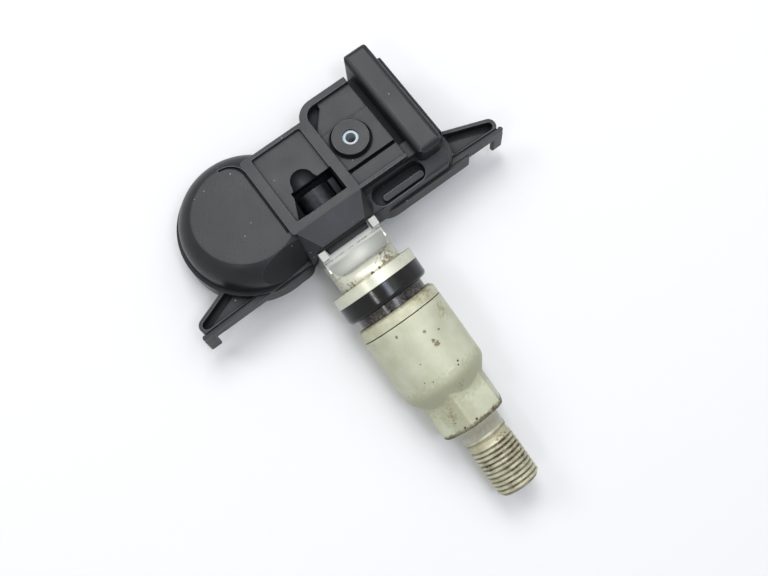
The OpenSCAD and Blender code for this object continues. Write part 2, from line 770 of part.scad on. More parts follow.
// Strip over the can of the cell, bent down to the board beside it.
module battery_tab_positive() {
    x = dome_c[0];
    z = cell_z + cell_h;
    side = dome_y + max(cell_d, cell_step_d) / 2 + face_gap;
    color(steel_grey) body_frame() {
        box([x - tab_w / 2, dome_y, z + face_gap], [x + tab_w / 2, side + eps, z + tab_t]);
        box([x - tab_w / 2, side, board_top], [x + tab_w / 2, side + tab_t, z + tab_t]);
    }
}

// Bridge under the cell, with a leg to the board at each end.
module battery_tab_negative() {
    half = tab_half;
    top = cell_z - face_gap;
    color(steel_grey) body_frame() translate([dome_c[0], dome_c[1], 0]) {
        box([-tab_w / 2, -half, top - tab_t], [tab_w / 2, half, top]);
        for (y = [-half, half - tab_t])
            box([-tab_w / 2, y, board_top], [tab_w / 2, y + tab_t, top]);
    }
}

module sensor_chip() {
    color("#202124") body_frame()
        box([port_x - chip_w / 2, port_y - chip_len / 2, board_top],
            [port_x + chip_w / 2, port_y + chip_len / 2, board_top + chip_h]);
}

// Gilded lid of the pressure sensor, with its breathing hole.
module chip_lid() {
    color(brass_yellow) body_frame()
        difference() {
            box([port_x - chip_w / 2 + 0.6, port_y - chip_len / 2 + 0.6, board_top + chip_h],
                [port_x + chip_w / 2 - 0.6, port_y + chip_len / 2 - 0.6, board_top + chip_h + lid_t]);
            translate([port_x, port_y, board_top + chip_h - eps])
                cylinder(d = 0.8, h = 1, $fn = 24);
        }
}

// Soft sleeve that carries the air from the boss to the sensor's lid.
module port_sleeve() {
    low = board_top + chip_h + lid_t;
    top = label_z - panel_sink + boss_h - 0.35;
    color("#dfe8ee") body_frame() translate([port_x, port_y, 0])
        difference() {
            union() {
                translate([0, 0, low]) cylinder(d = sleeve_d, h = top - low, $fn = small);
                translate([0, 0, low]) cylinder(d = sleeve_d + 1.4, h = 0.5, $fn = small);
            }
            translate([0, 0, low - 1]) cylinder(d = sleeve_hole_d, h = 12, $fn = small);
        }
}

module controller_chip() {
    color("#1d1e20") body_frame()
        translate([dome_c[0] - 2.5, dome_c[1] - 2.5, board_top]) cube([5, 5, 1]);
}

module crystal() {
    color(steel_grey) body_frame()
        translate([port_x - crystal_size[0] / 2, port_y + chip_len / 2 + 1.4, board_top])
            cube(crystal_size);
}

// Small resistors and capacitors, in two rows on the board.
module passives() {
    color("#a98e6a") body_frame()
        for (i = [0:2]) {
            translate([-1.4 + 1.6 * i, back_y - wall - 2.4, board_top])
                cube([passive_size[1], passive_size[0], passive_size[2]]);
            translate([port_x - 2.6 + passive_pitch * i, port_y - chip_len / 2 - 1.6, board_top])
                cube(passive_size);
        }
}

// Ferrite bar of the wake-up coil, with its two flanges.
module coil_core() {
    h = coil_w / 2;
    d = h - coil_depth;
    color("#3a3a3c") body_frame() translate([coil_x, coil_y, board_top + h]) {
        box([-d, 0, -d], [d, coil_len, d]);
        for (y = [0, coil_len - coil_cheek_t])
            box([-h, y, -h], [h, y + coil_cheek_t, h]);
    }
}

module coil_winding() {
    h = coil_w / 2 - 0.1;
    d = coil_w / 2 - coil_depth + face_gap;
    end = coil_cheek_t + face_gap;
    color("#8a4a24") body_frame() translate([coil_x, coil_y, board_top + coil_w / 2])
        difference() {
            box([-h, end, -h], [h, coil_len - end, h]);
            box([-d, 0, -d], [d, coil_len, d]);
        }
}

// Bent strip that sends the signal, standing on the board along the back wall.
module antenna_loop() {
    y = port_back_y - wall - 1.9;
    x0 = rib_x + rib_w + 0.4;
    x1 = trench_x - 1.4;
    t = 0.3;
    top = label_z - panel_sink - wall - 0.9;
    color(brass_yellow) body_frame() {
        box([x0, y, top - 1.2], [x1, y + t, top]);
        for (x = [x0, x1 - 1.2])
            box([x, y, board_top], [x + 1.2, y + t, top]);
    }
}

// Screw on the valve axis, with a six-lobed socket, which holds the stem to the body.
module sensor_screw() {
    lobe_r = 1.15;
    color("#232427")
        difference() {
            union() {
                on_axis(-head_end) cylinder(d = head_d, h = head_h - face_gap, $fn = fine);
                on_axis(-head_seat - 2 * face_gap) cylinder(d = screw_d, h = screw_len, $fn = small);
            }
            on_axis(-head_end - 1) {
                cylinder(r = lobe_r, h = 2.7, $fn = small);
                for (a = [0:60:300]) rotate(a) translate([lobe_r, 0, 0])
                    cylinder(r = 0.3, h = 2.7, $fn = 24);
            }
        }
}

// Aluminium stem: neck with its milled saddle, collar, shank, cap thread and passages.
module valve_stem() {
    w = block_w / 2;
    color(aluminium_grey)
        difference() {
            union() {
                on_axis() {
                    translate([0, 0, -neck_len]) cylinder(d = neck_d, h = neck_len, $fn = fine);
                    translate([0, 0, -collar_t]) cylinder(d = collar_d, h = collar_t, $fn = fine);
                    cylinder(d = shank_d, h = shank_len, $fn = fine);
                    translate([0, 0, shank_len])
                        cylinder(d1 = shank_d, d2 = plain_d, h = (shank_d - plain_d) / 2, $fn = fine);
                    cylinder(d = plain_d, h = thread_start - 0.8, $fn = fine);
                    cylinder(d = plain_d - 0.6, h = thread_start + 1, $fn = fine);
                    translate([0, 0, thread_start])
                        cylinder(d = cap_thread_d, h = cap_thread_len - 0.5, $fn = fine);
                    translate([0, 0, stem_len - 0.5])
                        cylinder(d1 = cap_thread_d, d2 = cap_thread_d - 1, h = 0.5, $fn = fine);
                }
                box([-w, neck_len - 2, -block_h], [w, block_end, flat_z]);
            }
            // Saddle and the flat behind it.
            translate([-10, neck_saddle_s, flat_z + saddle_r]) rotate([0, 90, 0])
                cylinder(r = saddle_r, h = 20, $fn = fine);
            box([-10, neck_saddle_s, flat_z], [10, neck_len + 1, 12]);
            // Seat of the core, passage and side outlet.
            on_axis() {
                translate([0, 0, core_neck]) cylinder(d = core_head_d + 2 * core_gap, h = 20, $fn = small);
                translate([0, 0, core_neck - core_seat_len])
                    cylinder(d1 = core_barrel_d + 0.9, d2 = core_head_d + 2 * core_gap, h = core_seat_len, $fn = small);
                translate([0, 0, core_bottom - 6])
                    cylinder(d = core_barrel_d + 0.9, h = 14, $fn = small);
                translate([0, 0, -4.4]) cylinder(d = air_d, h = 34, $fn = small);
            }
            translate([0, 3.4, -10]) cylinder(d = air_d - 0.6, h = 10, $fn = small);
            // Thread for the sensor screw.
            on_axis(-block_end - 1)
                cylinder(d = screw_d + 2 * thread_gap, h = screw_depth + 1, $fn = small);
        }
    // Ears that stop the stem under the lip of the body.
    color(aluminium_grey)
        for (side = [-1, 1]) translate([side * (w - ear_w / 2), ear_s + ear_len / 2, flat_z - eps])
            linear_extrude(ear_h + eps) square([ear_w, ear_len], center = true);
}

// Rubber seal with the nose that fills the hole in the wheel.
module grommet() {
    edge = 0.7;
    color(rubber_black) on_axis(face_gap)
        rotate_extrude($fn = fine)
            difference() {
                union() {
                    square([grommet_d / 2, grommet_t - edge - face_gap]);
                    square([grommet_d / 2 - edge, grommet_t - face_gap]);
                    translate([grommet_d / 2 - edge, grommet_t - edge - face_gap]) circle(edge, $fn = small);
                    square([nose_d / 2, grommet_t + nose_len - face_gap]);
                }
                translate([0, -1]) square([shank_d / 2 + 0.02, 20]);
            }
}

module nut_washer() {
    bevel = 0.5;
    color(aluminium_grey) on_axis(washer_s)
        difference() {
            union() {
                cylinder(d1 = washer_d - 2 * bevel, d2 = washer_d, h = bevel, $fn = fine);
                translate([0, 0, bevel]) cylinder(d = washer_d, h = washer_t - bevel, $fn = fine);
            }
            translate([0, 0, -1]) cylinder(d = shank_d + 0.3, h = 9, $fn = fine);
        }
}

// Sleeve nut: a long sleeve, a rounded shoulder and a hexagon for the wrench.
module hex_nut() {
    hex_r = hex_af / sqrt(3);
    r = nut_d / 2;
    bevel = 0.6;
    color(aluminium_grey)
        difference() {
            union() {
                on_axis(nut_s) rotate_extrude($fn = fine)
                    polygon([[0, 0], [r - 0.25, 0], [r - 0.05, 0.3], [r, 4], [r, nut_sleeve_len],
                        [r - 0.08, nut_sleeve_len + 0.5], [r - 0.35, nut_sleeve_len + 1.1],
                        [r - 0.7, nut_sleeve_len + 1.6],
                        [hex_af / 2 + 0.05, nut_sleeve_len + nut_shoulder_len], [0, nut_sleeve_len + nut_shoulder_len]]);
                intersection() {
                    on_axis(nut_shoulder_s + 1) rotate(90 + hex_turn)
                        cylinder(r = hex_r, h = nut_end_s - nut_shoulder_s - 1, $fn = 6);
                    on_axis(nut_shoulder_s) cylinder(r1 = hex_r + nut_end_s - nut_shoulder_s - bevel,
                        r2 = hex_r - bevel, h = nut_end_s - nut_shoulder_s, $fn = fine);
                }
            }
            on_axis(nut_s - 1) cylinder(d = shank_d + 2 * nut_gap, h = plain_start - nut_s + 1, $fn = fine);
            on_axis(nut_s) cylinder(d = nut_throat_d, h = 30, $fn = fine);
        }
}

// Brass body of the core: threaded head with a slot, seat and barrel.
module core_body() {
    color(brass_yellow)
        difference() {
            on_axis() {
                translate([0, 0, core_neck]) cylinder(d = core_head_d, h = core_head_len, $fn = small);
                translate([0, 0, core_bottom]) cylinder(d = core_barrel_d, h = core_barrel_len + eps, $fn = small);
            }
            on_axis() {
                translate([0, 0, spring_seat]) cylinder(d = core_hole_d, h = 20, $fn = small);
                translate([0, 0, core_bottom - 1]) cylinder(d = pin_d + 0.5, h = 20, $fn = small);
            }
            // Flats that the core key grips.
            for (side = [-1, 1])
                translate([side * 3.1, -core_top, 0]) cube([2.4, 5, 8], center = true);
        }
}

module core_gasket() {
    color("#7a2a22") on_axis(core_neck - core_seat_len - 1.5)
        difference() {
            cylinder(d = core_barrel_d + 0.86, h = 1.3, $fn = small);
            translate([0, 0, -1]) cylinder(d = core_barrel_d + 0.04, h = 4, $fn = small);
        }
}

// Pin with the button that is pressed to let air through.
module core_pin() {
    color(brass_yellow) on_axis() {
        translate([0, 0, core_bottom - seal_len - 0.5])
            cylinder(d = pin_d, h = core_top + 0.9 - core_bottom + seal_len + 0.5 - 0.2, $fn = small);
        translate([0, 0, spring_top]) cylinder(d = core_hole_d - 0.2, h = 0.5, $fn = small);
        translate([0, 0, core_bottom - seal_len - 0.5]) cylinder(d = 2.4, h = 0.45, $fn = small);
    }
}

module core_seal() {
    color(rubber_black) on_axis(core_bottom - seal_len - 0.05 + face_gap)
        difference() {
            cylinder(d = 3, h = seal_len, $fn = small);
            translate([0, 0, -1]) cylinder(d = pin_d + 0.04, h = 4, $fn = small);
        }
}

// Compression spring round the pin, swept along its helix.
module core_spring() {
    sides = 8;
    per_turn = 14;
    rings = spring_turns * per_turn;
    r = core_hole_d / 2 - wire_d / 2 - 0.08;
    z0 = spring_seat + wire_d / 2 + 0.02;
    z1 = spring_top - wire_d / 2 - 0.02;
    points = [for (i = [0:rings]) let (a = 360 * i / per_turn, z = z0 + (z1 - z0) * i / rings)
        for (j = [0:sides - 1]) let (b = 360 * j / sides, q = r + wire_d / 2 * cos(b))
            [q * cos(a), q * sin(a), z + wire_d / 2 * sin(b)]];
    walls = [for (i = [0:rings - 1]) for (j = [0:sides - 1]) let (k = (j + 1) % sides)
        [i * sides + j, i * sides + k, (i + 1) * sides + k, (i + 1) * sides + j]];
    ends = [[for (j = [sides - 1:-1:0]) j], [for (j = [0:sides - 1]) rings * sides + j]];
    color(steel_grey) on_axis() polyhedron(points, concat(walls, ends));
}

housing();
potting_resin();
circuit_board();
battery_cell();
battery_tab_positive();
battery_tab_negative();
sensor_chip();
chip_lid();
port_sleeve();
controller_chip();
crystal();
passives();
coil_core();
coil_winding();
antenna_loop();
sensor_screw();
valve_stem();
grommet();
nut_washer();
hex_nut();
core_body();
core_gasket();
core_pin();
core_seal();
core_spring();
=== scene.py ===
"""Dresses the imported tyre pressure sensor, and sets its floor, lamps and camera."""

import logging
import math
from dataclasses import dataclass
from enum import Enum
from typing import Any, Optional

import bmesh
import bpy
import numpy as np
from mathutils import Matrix, Vector


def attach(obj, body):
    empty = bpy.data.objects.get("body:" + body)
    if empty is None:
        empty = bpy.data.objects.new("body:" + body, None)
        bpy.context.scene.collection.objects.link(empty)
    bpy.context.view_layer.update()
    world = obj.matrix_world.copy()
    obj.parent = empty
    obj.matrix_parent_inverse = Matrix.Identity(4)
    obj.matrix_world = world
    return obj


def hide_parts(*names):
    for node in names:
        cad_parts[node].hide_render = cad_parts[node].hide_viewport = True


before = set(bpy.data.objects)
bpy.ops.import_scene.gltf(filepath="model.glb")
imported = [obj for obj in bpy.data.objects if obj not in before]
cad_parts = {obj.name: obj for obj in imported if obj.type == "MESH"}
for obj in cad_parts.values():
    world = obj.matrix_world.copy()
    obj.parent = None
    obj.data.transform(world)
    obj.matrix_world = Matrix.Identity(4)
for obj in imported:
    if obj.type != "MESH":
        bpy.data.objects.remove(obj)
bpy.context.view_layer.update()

MM = 0.001
log = logging.getLogger("sensor")
Socket = bpy.types.NodeSocket

# The valve's axis is the row's Y axis, and its tip points to -Y. A station s is a distance in
# millimetres from the collar's face towards the tip.
THREAD_PITCH = 0.794

# The photograph's width in pixels, and the sensor's width in millimetres that stands for it.
PICTURE_WIDTH = 768
SENSOR_WIDTH = 36.0


class Body(Enum):
    """The bodies that the new pieces ride on. Each CAD node keeps its own."""

    SENSOR = "sensor"
    NUT = "nut"


# Helpers


def linear(hex_colour: str) -> tuple[float, float, float, float]:
    """Turns an sRGB hex colour to linear light.

    Args:
        hex_colour: Six hex digits after a hash.

    Returns:
        Red, green, blue and an alpha of 1.
    """
    srgb = np.array([int(hex_colour[i:i + 2], 16) / 255 for i in (1, 3, 5)])
    lin = np.where(srgb <= 0.04045, srgb / 12.92, ((srgb + 0.055) / 1.055) ** 2.4)
    return (*map(float, lin), 1.0)


def add_node(tree: bpy.types.NodeTree, kind: str, inputs: Optional[dict] = None,
             **settings: Any) -> bpy.types.Node:
    """Adds a node with its settings, values and links.

    Args:
        tree: The node tree that takes the node.
        kind: Blender's name of the node type, past its "ShaderNode".
        inputs: Input name or number to a value, to a socket that is linked to it, or to a
            node whose first output is.
        **settings: Properties of the node itself.

    Returns:
        The new node.
    """
    node = tree.nodes.new("ShaderNode" + kind)
    for name, value in settings.items():
        setattr(node, name, value)
    for key, value in (inputs or {}).items():
        if isinstance(value, bpy.types.Node):
            value = value.outputs[0]
        if isinstance(value, Socket):
            tree.links.new(value, node.inputs[key])
        else:
            node.inputs[key].default_value = value
    return node


def stops(node: bpy.types.Node, *places: tuple[float, str]) -> Socket:
    """Sets the stops of a colour ramp.

    Args:
        node: The colour ramp node.
        *places: Position and hex colour of each stop, in rising order.

    Returns:
        The ramp's colour output.
    """
    ramp = node.color_ramp
    while len(ramp.elements) < len(places):
        ramp.elements.new(1.0)
    for element, (place, colour) in zip(ramp.elements, places):
        element.position = place
        element.color = linear(colour)
    return node.outputs["Color"]


def grid_mesh(name: str, points: np.ndarray) -> bpy.types.Object:
    """Makes a closed ring of rings, periodic along both of the grid's directions.

    Args:
        name: Name of the piece.
        points: Array of shape (rows, columns, 3), in metres. The last row joins the first,
            and the last column joins the first.

    Returns:
        The linked object, with its place in its mesh.
    """
    rows, columns = points.shape[:2]
    row, column = np.meshgrid(np.arange(rows), np.arange(columns), indexing="ij")
    after, beside = (row + 1) % rows, (column + 1) % columns
    quads = np.stack([row * columns + column, after * columns + column,
                      after * columns + beside, row * columns + beside], axis=-1)
    mesh = bpy.data.meshes.new(name)
    mesh.vertices.add(rows * columns)
    mesh.vertices.foreach_set("co", points.reshape(-1).astype(np.float32))
    mesh.loops.add(quads.size)
    mesh.loops.foreach_set("vertex_index", quads.reshape(-1).astype(np.int32))
    mesh.polygons.add(rows * columns)
    mesh.polygons.foreach_set("loop_start", np.arange(0, quads.size, 4, dtype=np.int32))
    mesh.update(calc_edges=True)
    mesh.validate()
    mesh.shade_smooth()
    piece = bpy.data.objects.new(name, mesh)
    bpy.context.scene.collection.objects.link(piece)
    return piece


def turned(stations: np.ndarray, radii: np.ndarray, angles: np.ndarray) -> np.ndarray:
    """Places points round the valve's axis.

    A point at station s, radius r and angle a stands at x = r sin a, y = -s, z = r cos a.

    Args:
        stations: Distances from the collar in millimetres, shape (rows, columns) or (rows, 1).
        radii: Radii in millimetres, shape (rows, columns).
        angles: Angles in radians, shape (columns,).

    Returns:
        Points in metres, shape (rows, columns, 3).
    """
    stations = np.broadcast_to(stations, radii.shape)
    return np.stack([radii * np.sin(angles), -stations, radii * np.cos(angles)], axis=-1) * MM


def smooth_step(x: np.ndarray) -> np.ndarray:
    """Rises from 0 to 1 as x does, flat at both ends: 3x^2 - 2x^3 of the clipped x."""
    t = np.clip(x, 0, 1)
    return t * t * (3 - 2 * t)


def soft_max(a: np.ndarray, b: np.ndarray, blend: float) -> np.ndarray:
    """Larger of a and b, rounded where they cross: half of a + b + sqrt((a - b)^2 + blend^2)."""
    return (a + b + np.sqrt((a - b) ** 2 + blend ** 2)) / 2


def soft_min(a: np.ndarray, b: np.ndarray, blend: float) -> np.ndarray:
    """Smaller of a and b, rounded where they cross, as soft_max with its root taken off."""
    return (a + b - np.sqrt((a - b) ** 2 + blend ** 2)) / 2


# Finishes


@dataclass(frozen=True)
class Ground:
    """What the layers of a finish are drawn on.

    Attributes:
        tree: The material's node tree.
        place: Object coordinates, in metres.
        patches: Soft noise from 0 to 1.
        normal: Direction of the surface, with its edges rounded.
    """

    tree: bpy.types.NodeTree
    place: Socket
    patches: Socket
    normal: Socket


# A stain, chip, patch of dirt or patch of painted light: its middle, then how far it reaches,
# in millimetres.
Mark = tuple[float, float, float, float]


@dataclass(frozen=True)
class Layer:
    """Marks of one kind, which lie on a finish.

    Attributes:
        tone: Their colour.
        marks: Where they lie.
        grain_mm: Size of the noise that frays their edges.
        ragged: How strong that noise is.
        peak: Nearness in a mark's middle. The noise breaks a low one up into specks.
        cover: How much of the surface's own colour they hide.
    """

    tone: str
    marks: tuple[Mark, ...]
    grain_mm: float = 0.3
    ragged: float = 1.0
    peak: float = 1.0
    cover: float = 1.0


@dataclass(frozen=True)
class Band:
    """A ring of dirt, dulling or painted shade round the valve.

    Attributes:
        tone: Its colour.
        station: Where it lies, in millimetres from the collar.
        width: How far it reaches to each side.
        share: Share of the band that it covers.
        cover: How much of the surface's own colour it hides.
        grain_mm: Size of the noise that breaks it up.
    """

    tone: str
    station: float
    width: float
    share: float = 1.0
    cover: float = 1.0
    grain_mm: float = 0.6


@dataclass(frozen=True)
class Finish:
    """A material in two close tones, with a fine grain in its surface.

    Attributes:
        name: What the material is and how it was made.
        tone: Main colour.
        shade: Second colour, mixed in as soft patches.
        patch_mm: Size of the patches.
        roughness: Lowest and highest roughness, which follow the patches.
        metallic: 1 for a metal, 0 for anything else.
        grain_mm: Size of the surface's grain.
        grain_depth_mm: Height of the grain.
        edge_mm: Radius that the edges look rounded to.
        ior: Index of refraction of what isn't a metal.
        gloss: Strength of its reflection, where 0.5 is what the index gives.
        bands: Rings of dirt, dulling or painted shade round the valve.
        layers: Stains, chips and patches of dirt, and patches of painted shade and reflection.
    """

    name: str
    tone: str
    shade: str
    patch_mm: float = 2.0
    roughness: tuple[float, float] = (0.35, 0.5)
    metallic: float = 0.0
    grain_mm: float = 0.15
    grain_depth_mm: float = 0.004
    edge_mm: float = 0.08
    ior: float = 1.5
    gloss: float = 0.5
    bands: tuple[Band, ...] = ()
    layers: tuple[Layer, ...] = ()

    def bare(self, ground: Ground) -> Socket:
        """Mixes the two tones by the patches, as the colour under the marks."""
        ramp = add_node(ground.tree, "ValToRGB", {"Fac": ground.patches})
        return stops(ramp, (0.35, self.shade), (0.65, self.tone))

    def colour(self, ground: Ground) -> Socket:
        """Lays the bands and the marks on the bare colour.

        Args:
            ground: What the finish is drawn on.

        Returns:
            The base colour.
        """
        colour = self.bare(ground)
        for band in self.bands:
            colour = self.coat(ground, colour, self.ring(ground, band), band.tone)
        for layer in self.layers:
            colour = self.coat(ground, colour, self.layer_marks(ground, layer), layer.tone)
        return colour

    def rough(self, ground: Ground) -> Socket:
        """Lets the roughness follow the patches."""
        return add_node(ground.tree, "MapRange", {
            "Value": ground.patches, "From Min": 0.3, "From Max": 0.7,
            "To Min": self.roughness[0], "To Max": self.roughness[1]}).outputs["Result"]

    def height(self, ground: Ground) -> Socket:
        """Draws the grain, as a height from 0 to 1."""
        grain = add_node(ground.tree, "TexNoise", {
            "Vector": ground.place, "Scale": 1000 / self.grain_mm})
        return grain.outputs["Fac"]

    def coat(self, ground: Ground, under: Socket, mask: Socket,
             tone: str) -> Socket:
        """Lays a tone over the colour underneath, where the mask is 1."""
        mix = add_node(ground.tree, "Mix", {
            "Factor": mask, "A": under, "B": linear(tone)}, data_type="RGBA")
        return mix.outputs["Result"]

    def layer_marks(self, ground: Ground, layer: Layer) -> Socket:
        """Draws marks with ragged edges.

        Nearness falls from its peak in a mark's middle to 0 at its reach, and below that
        outside. The highest nearness of all marks is added to a noise. The layer starts
        where the sum is 0.05 above the noise's middle, and is full where it is 0.45 above.

        Args:
            ground: What the finish is drawn on.
            layer: The marks.

        Returns:
            The layer's cover in a mark, 0 elsewhere.
        """
        nearness = None
        for *middle, reach in layer.marks:
            away = add_node(ground.tree, "VectorMath", {
                0: ground.place, 1: tuple(c * MM for c in middle)}, operation="DISTANCE")
            near = add_node(ground.tree, "MapRange", {
                "Value": away.outputs["Value"], "From Max": reach * MM,
                "To Min": layer.peak, "To Max": 0.0}, clamp=False).outputs["Result"]
            nearness = near if nearness is None else add_node(
                ground.tree, "Math", {0: nearness, 1: near},
                operation="MAXIMUM").outputs[0]
        noise = add_node(ground.tree, "TexNoise", {
            "Vector": ground.place, "Scale": 1000 / layer.grain_mm, "Detail": 4.0,
            "Roughness": 0.65})
        frayed = add_node(ground.tree, "Math", {
            0: noise, 1: layer.ragged, 2: nearness}, operation="MULTIPLY_ADD")
        return add_node(ground.tree, "MapRange", {
            "Value": frayed, "From Min": layer.ragged / 2 + 0.05,
            "From Max": layer.ragged / 2 + 0.45, "To Max": layer.cover}).outputs["Result"]

    def ring(self, ground: Ground, band: Band) -> Socket:
        """Lays a band round the valve at one station, where a noise is high.

        Args:
            ground: What the finish is drawn on.
            band: Its tone, station and spread.

        Returns:
            The band's cover where it lies, 0 elsewhere.
        """
        tree = ground.tree
        along = add_node(tree, "SeparateXYZ", {"Vector": ground.place})
        away = add_node(tree, "Math", {
            0: along.outputs["Y"], 1: band.station * MM}, operation="ADD")
        apart = add_node(tree, "Math", {0: away}, operation="ABSOLUTE")
        near = add_node(tree, "MapRange", {
            "Value": apart, "From Max": band.width * MM, "To Min": 0.3,
            "To Max": -0.1}, clamp=False)
        noise = add_node(tree, "TexNoise", {
            "Vector": ground.place, "Scale": 1000 / band.grain_mm, "Detail": 5.0,
            "Roughness": 0.7})
        both = add_node(tree, "Math", {
            0: noise, 1: near}, operation="ADD")
        level = 0.9 - 0.4 * band.share
        return add_node(tree, "MapRange", {
            "Value": both, "From Min": level - 0.12, "From Max": level + 0.12,
            "To Max": band.cover}).outputs["Result"]

    def hollow(self, ground: Ground, depth_mm: float) -> Socket:
        """Falls from 1 on an open face to 0 in a recess, judged within the given depth."""
        return add_node(ground.tree, "AmbientOcclusion", {
            "Distance": depth_mm * MM}, samples=6).outputs["AO"]

    def build(self) -> bpy.types.Material:
        """Builds the material.

        Returns:
            The material, with its colour, roughness and surface from nodes.
        """
        material = bpy.data.materials.new(self.name)
        material.use_nodes = True
        tree = material.node_tree
        tree.nodes.clear()
        place = add_node(tree, "TexCoord").outputs["Object"]
        patches = add_node(tree, "TexNoise", {
            "Vector": place, "Scale": 1000 / self.patch_mm, "Detail": 4.0})
        edges = add_node(tree, "Bevel", {"Radius": self.edge_mm * MM}, samples=6)
        ground = Ground(tree, place, patches.outputs["Fac"], edges.outputs["Normal"])
        bump = add_node(tree, "Bump", {
            "Height": self.height(ground), "Distance": self.grain_depth_mm * MM,
            "Normal": ground.normal})
        shader = add_node(tree, "BsdfPrincipled", {
            "Base Color": self.colour(ground), "Roughness": self.rough(ground),
            "Metallic": self.metallic, "Normal": bump})
        if not self.metallic:
            shader.inputs["IOR"].default_value = self.ior
            shader.inputs["Specular IOR Level"].default_value = self.gloss
        add_node(tree, "OutputMaterial", {"Surface": shader})
        return material


@dataclass(frozen=True)
class MouldedNylon(Finish):
    """Glass-filled black nylon, moulded in a spark-eroded tool.

    The tool leaves a fine grain that turns a soft light to a grey sheen. Recesses are painted
    near black as shade. Open edges are painted paler, for the wear of handling and for the
    highlight they catch, and specks of pale dust lie on the surface.
    """

    # Paler tone of open edges: rubbed wear, and a painted highlight where edges catch the light.
    edge_wear_and_highlight: str = "#73787C"
    # Colour of the painted shade laid in recesses.
    deep: str = "#0B0C0E"
    deep_mm: float = 3.2
    deep_rough: float = 0.85
    dust: str = "#9EA2A4"
    dust_cell_mm: float = 1.0
    dust_mm: float = 0.085
    dust_share: float = 0.1

    def closed(self, ground: Ground, most: float) -> Socket:
        """Rises from 0 on an open face to the given value deep in a recess."""
        return add_node(ground.tree, "MapRange", {
            "Value": self.hollow(ground, self.deep_mm), "From Min": 0.3, "From Max": 0.88,
            "To Min": most, "To Max": 0.0}).outputs["Result"]

    def rough(self, ground: Ground) -> Socket:
        """Dulls the recesses, which no hand rubs."""
        mix = add_node(ground.tree, "Mix", {
            "Factor": self.closed(ground, 1.0), "A": Finish.rough(self, ground),
            "B": self.deep_rough}, data_type="FLOAT")
        return mix.outputs["Result"]

    def bare(self, ground: Ground) -> Socket:
        """Adds painted shade in the recesses, paler edges that are partly painted highlight, and
        the dust to the two tones.

        An edge is where the rounded direction leaves the true one, on an open place. A speck
        is drawn near the middle of a cell, in the few cells whose random number is high.

        Args:
            ground: What the finish is drawn on.

        Returns:
            The base colour.
        """
        tree = ground.tree
        # Painted shade: recesses turn towards the deep tone as they close in.
        body = self.coat(ground, Finish.bare(self, ground), self.closed(ground, 0.9),
                         self.deep)
        true_way = add_node(tree, "NewGeometry").outputs["Normal"]
        along = add_node(tree, "VectorMath", {0: ground.normal, 1: true_way},
                         operation="DOT_PRODUCT")
        # Painted highlight with wear: open edges turn paler where the rounded direction leaves
        # the true one.
        turned_off = add_node(tree, "MapRange", {
            "Value": along.outputs["Value"], "From Min": 0.985, "From Max": 0.84,
            "To Min": 0.0, "To Max": 0.8})
        open_edge = add_node(tree, "MapRange", {
            "Value": self.hollow(ground, self.deep_mm), "From Min": 0.8, "From Max": 0.97})
        edge = add_node(tree, "Math", {
            0: turned_off, 1: open_edge},
            operation="MULTIPLY")
        body = self.coat(ground, body, edge.outputs[0], self.edge_wear_and_highlight)
        cells = add_node(tree, "TexVoronoi", {
            "Vector": ground.place, "Scale": 1000 / self.dust_cell_mm})
        near = add_node(tree, "Math", {
            0: cells, 1: self.dust_mm / self.dust_cell_mm},
            operation="LESS_THAN")
        chance = add_node(tree, "SeparateColor", {"Color": cells.outputs["Color"]})
        picked = add_node(tree, "Math", {
            0: chance.outputs["Red"], 1: 1 - self.dust_share}, operation="GREATER_THAN")
        speck = add_node(tree, "Math", {
            0: near, 1: picked}, operation="MULTIPLY")
        return self.coat(ground, body, speck.outputs[0], self.dust)


@dataclass(frozen=True)
class DustyRubber(Finish):
    """Seal rubber, moulded in a polished tool: deep black with a clear sheen.

    Road dust greys the nose under the washer.
    """

    dust: str = "#77736A"
    dust_mm: float = 0.9
    nose_station: float = 3.05

    def bare(self, ground: Ground) -> Socket:
        """Adds the dust past the wide part, more where a noise is high.

        Args:
            ground: What the finish is drawn on.

        Returns:
            The base colour.
        """
        tree = ground.tree
        along = add_node(tree, "SeparateXYZ", {"Vector": ground.place})
        nose = add_node(tree, "Math", {
            0: along.outputs["Y"], 1: -self.nose_station * MM}, operation="LESS_THAN")
        noise = add_node(tree, "TexNoise", {
            "Vector": ground.place, "Scale": 1000 / self.dust_mm, "Detail": 6.0,
            "Roughness": 0.75})
        strong = add_node(tree, "MapRange", {
            "Value": noise, "From Min": 0.42, "From Max": 0.7, "To Max": 0.7})
        mask = add_node(tree, "Math", {
            0: nose, 1: strong}, operation="MULTIPLY")
        return self.coat(ground, Finish.bare(self, ground), mask.outputs[0], self.dust)


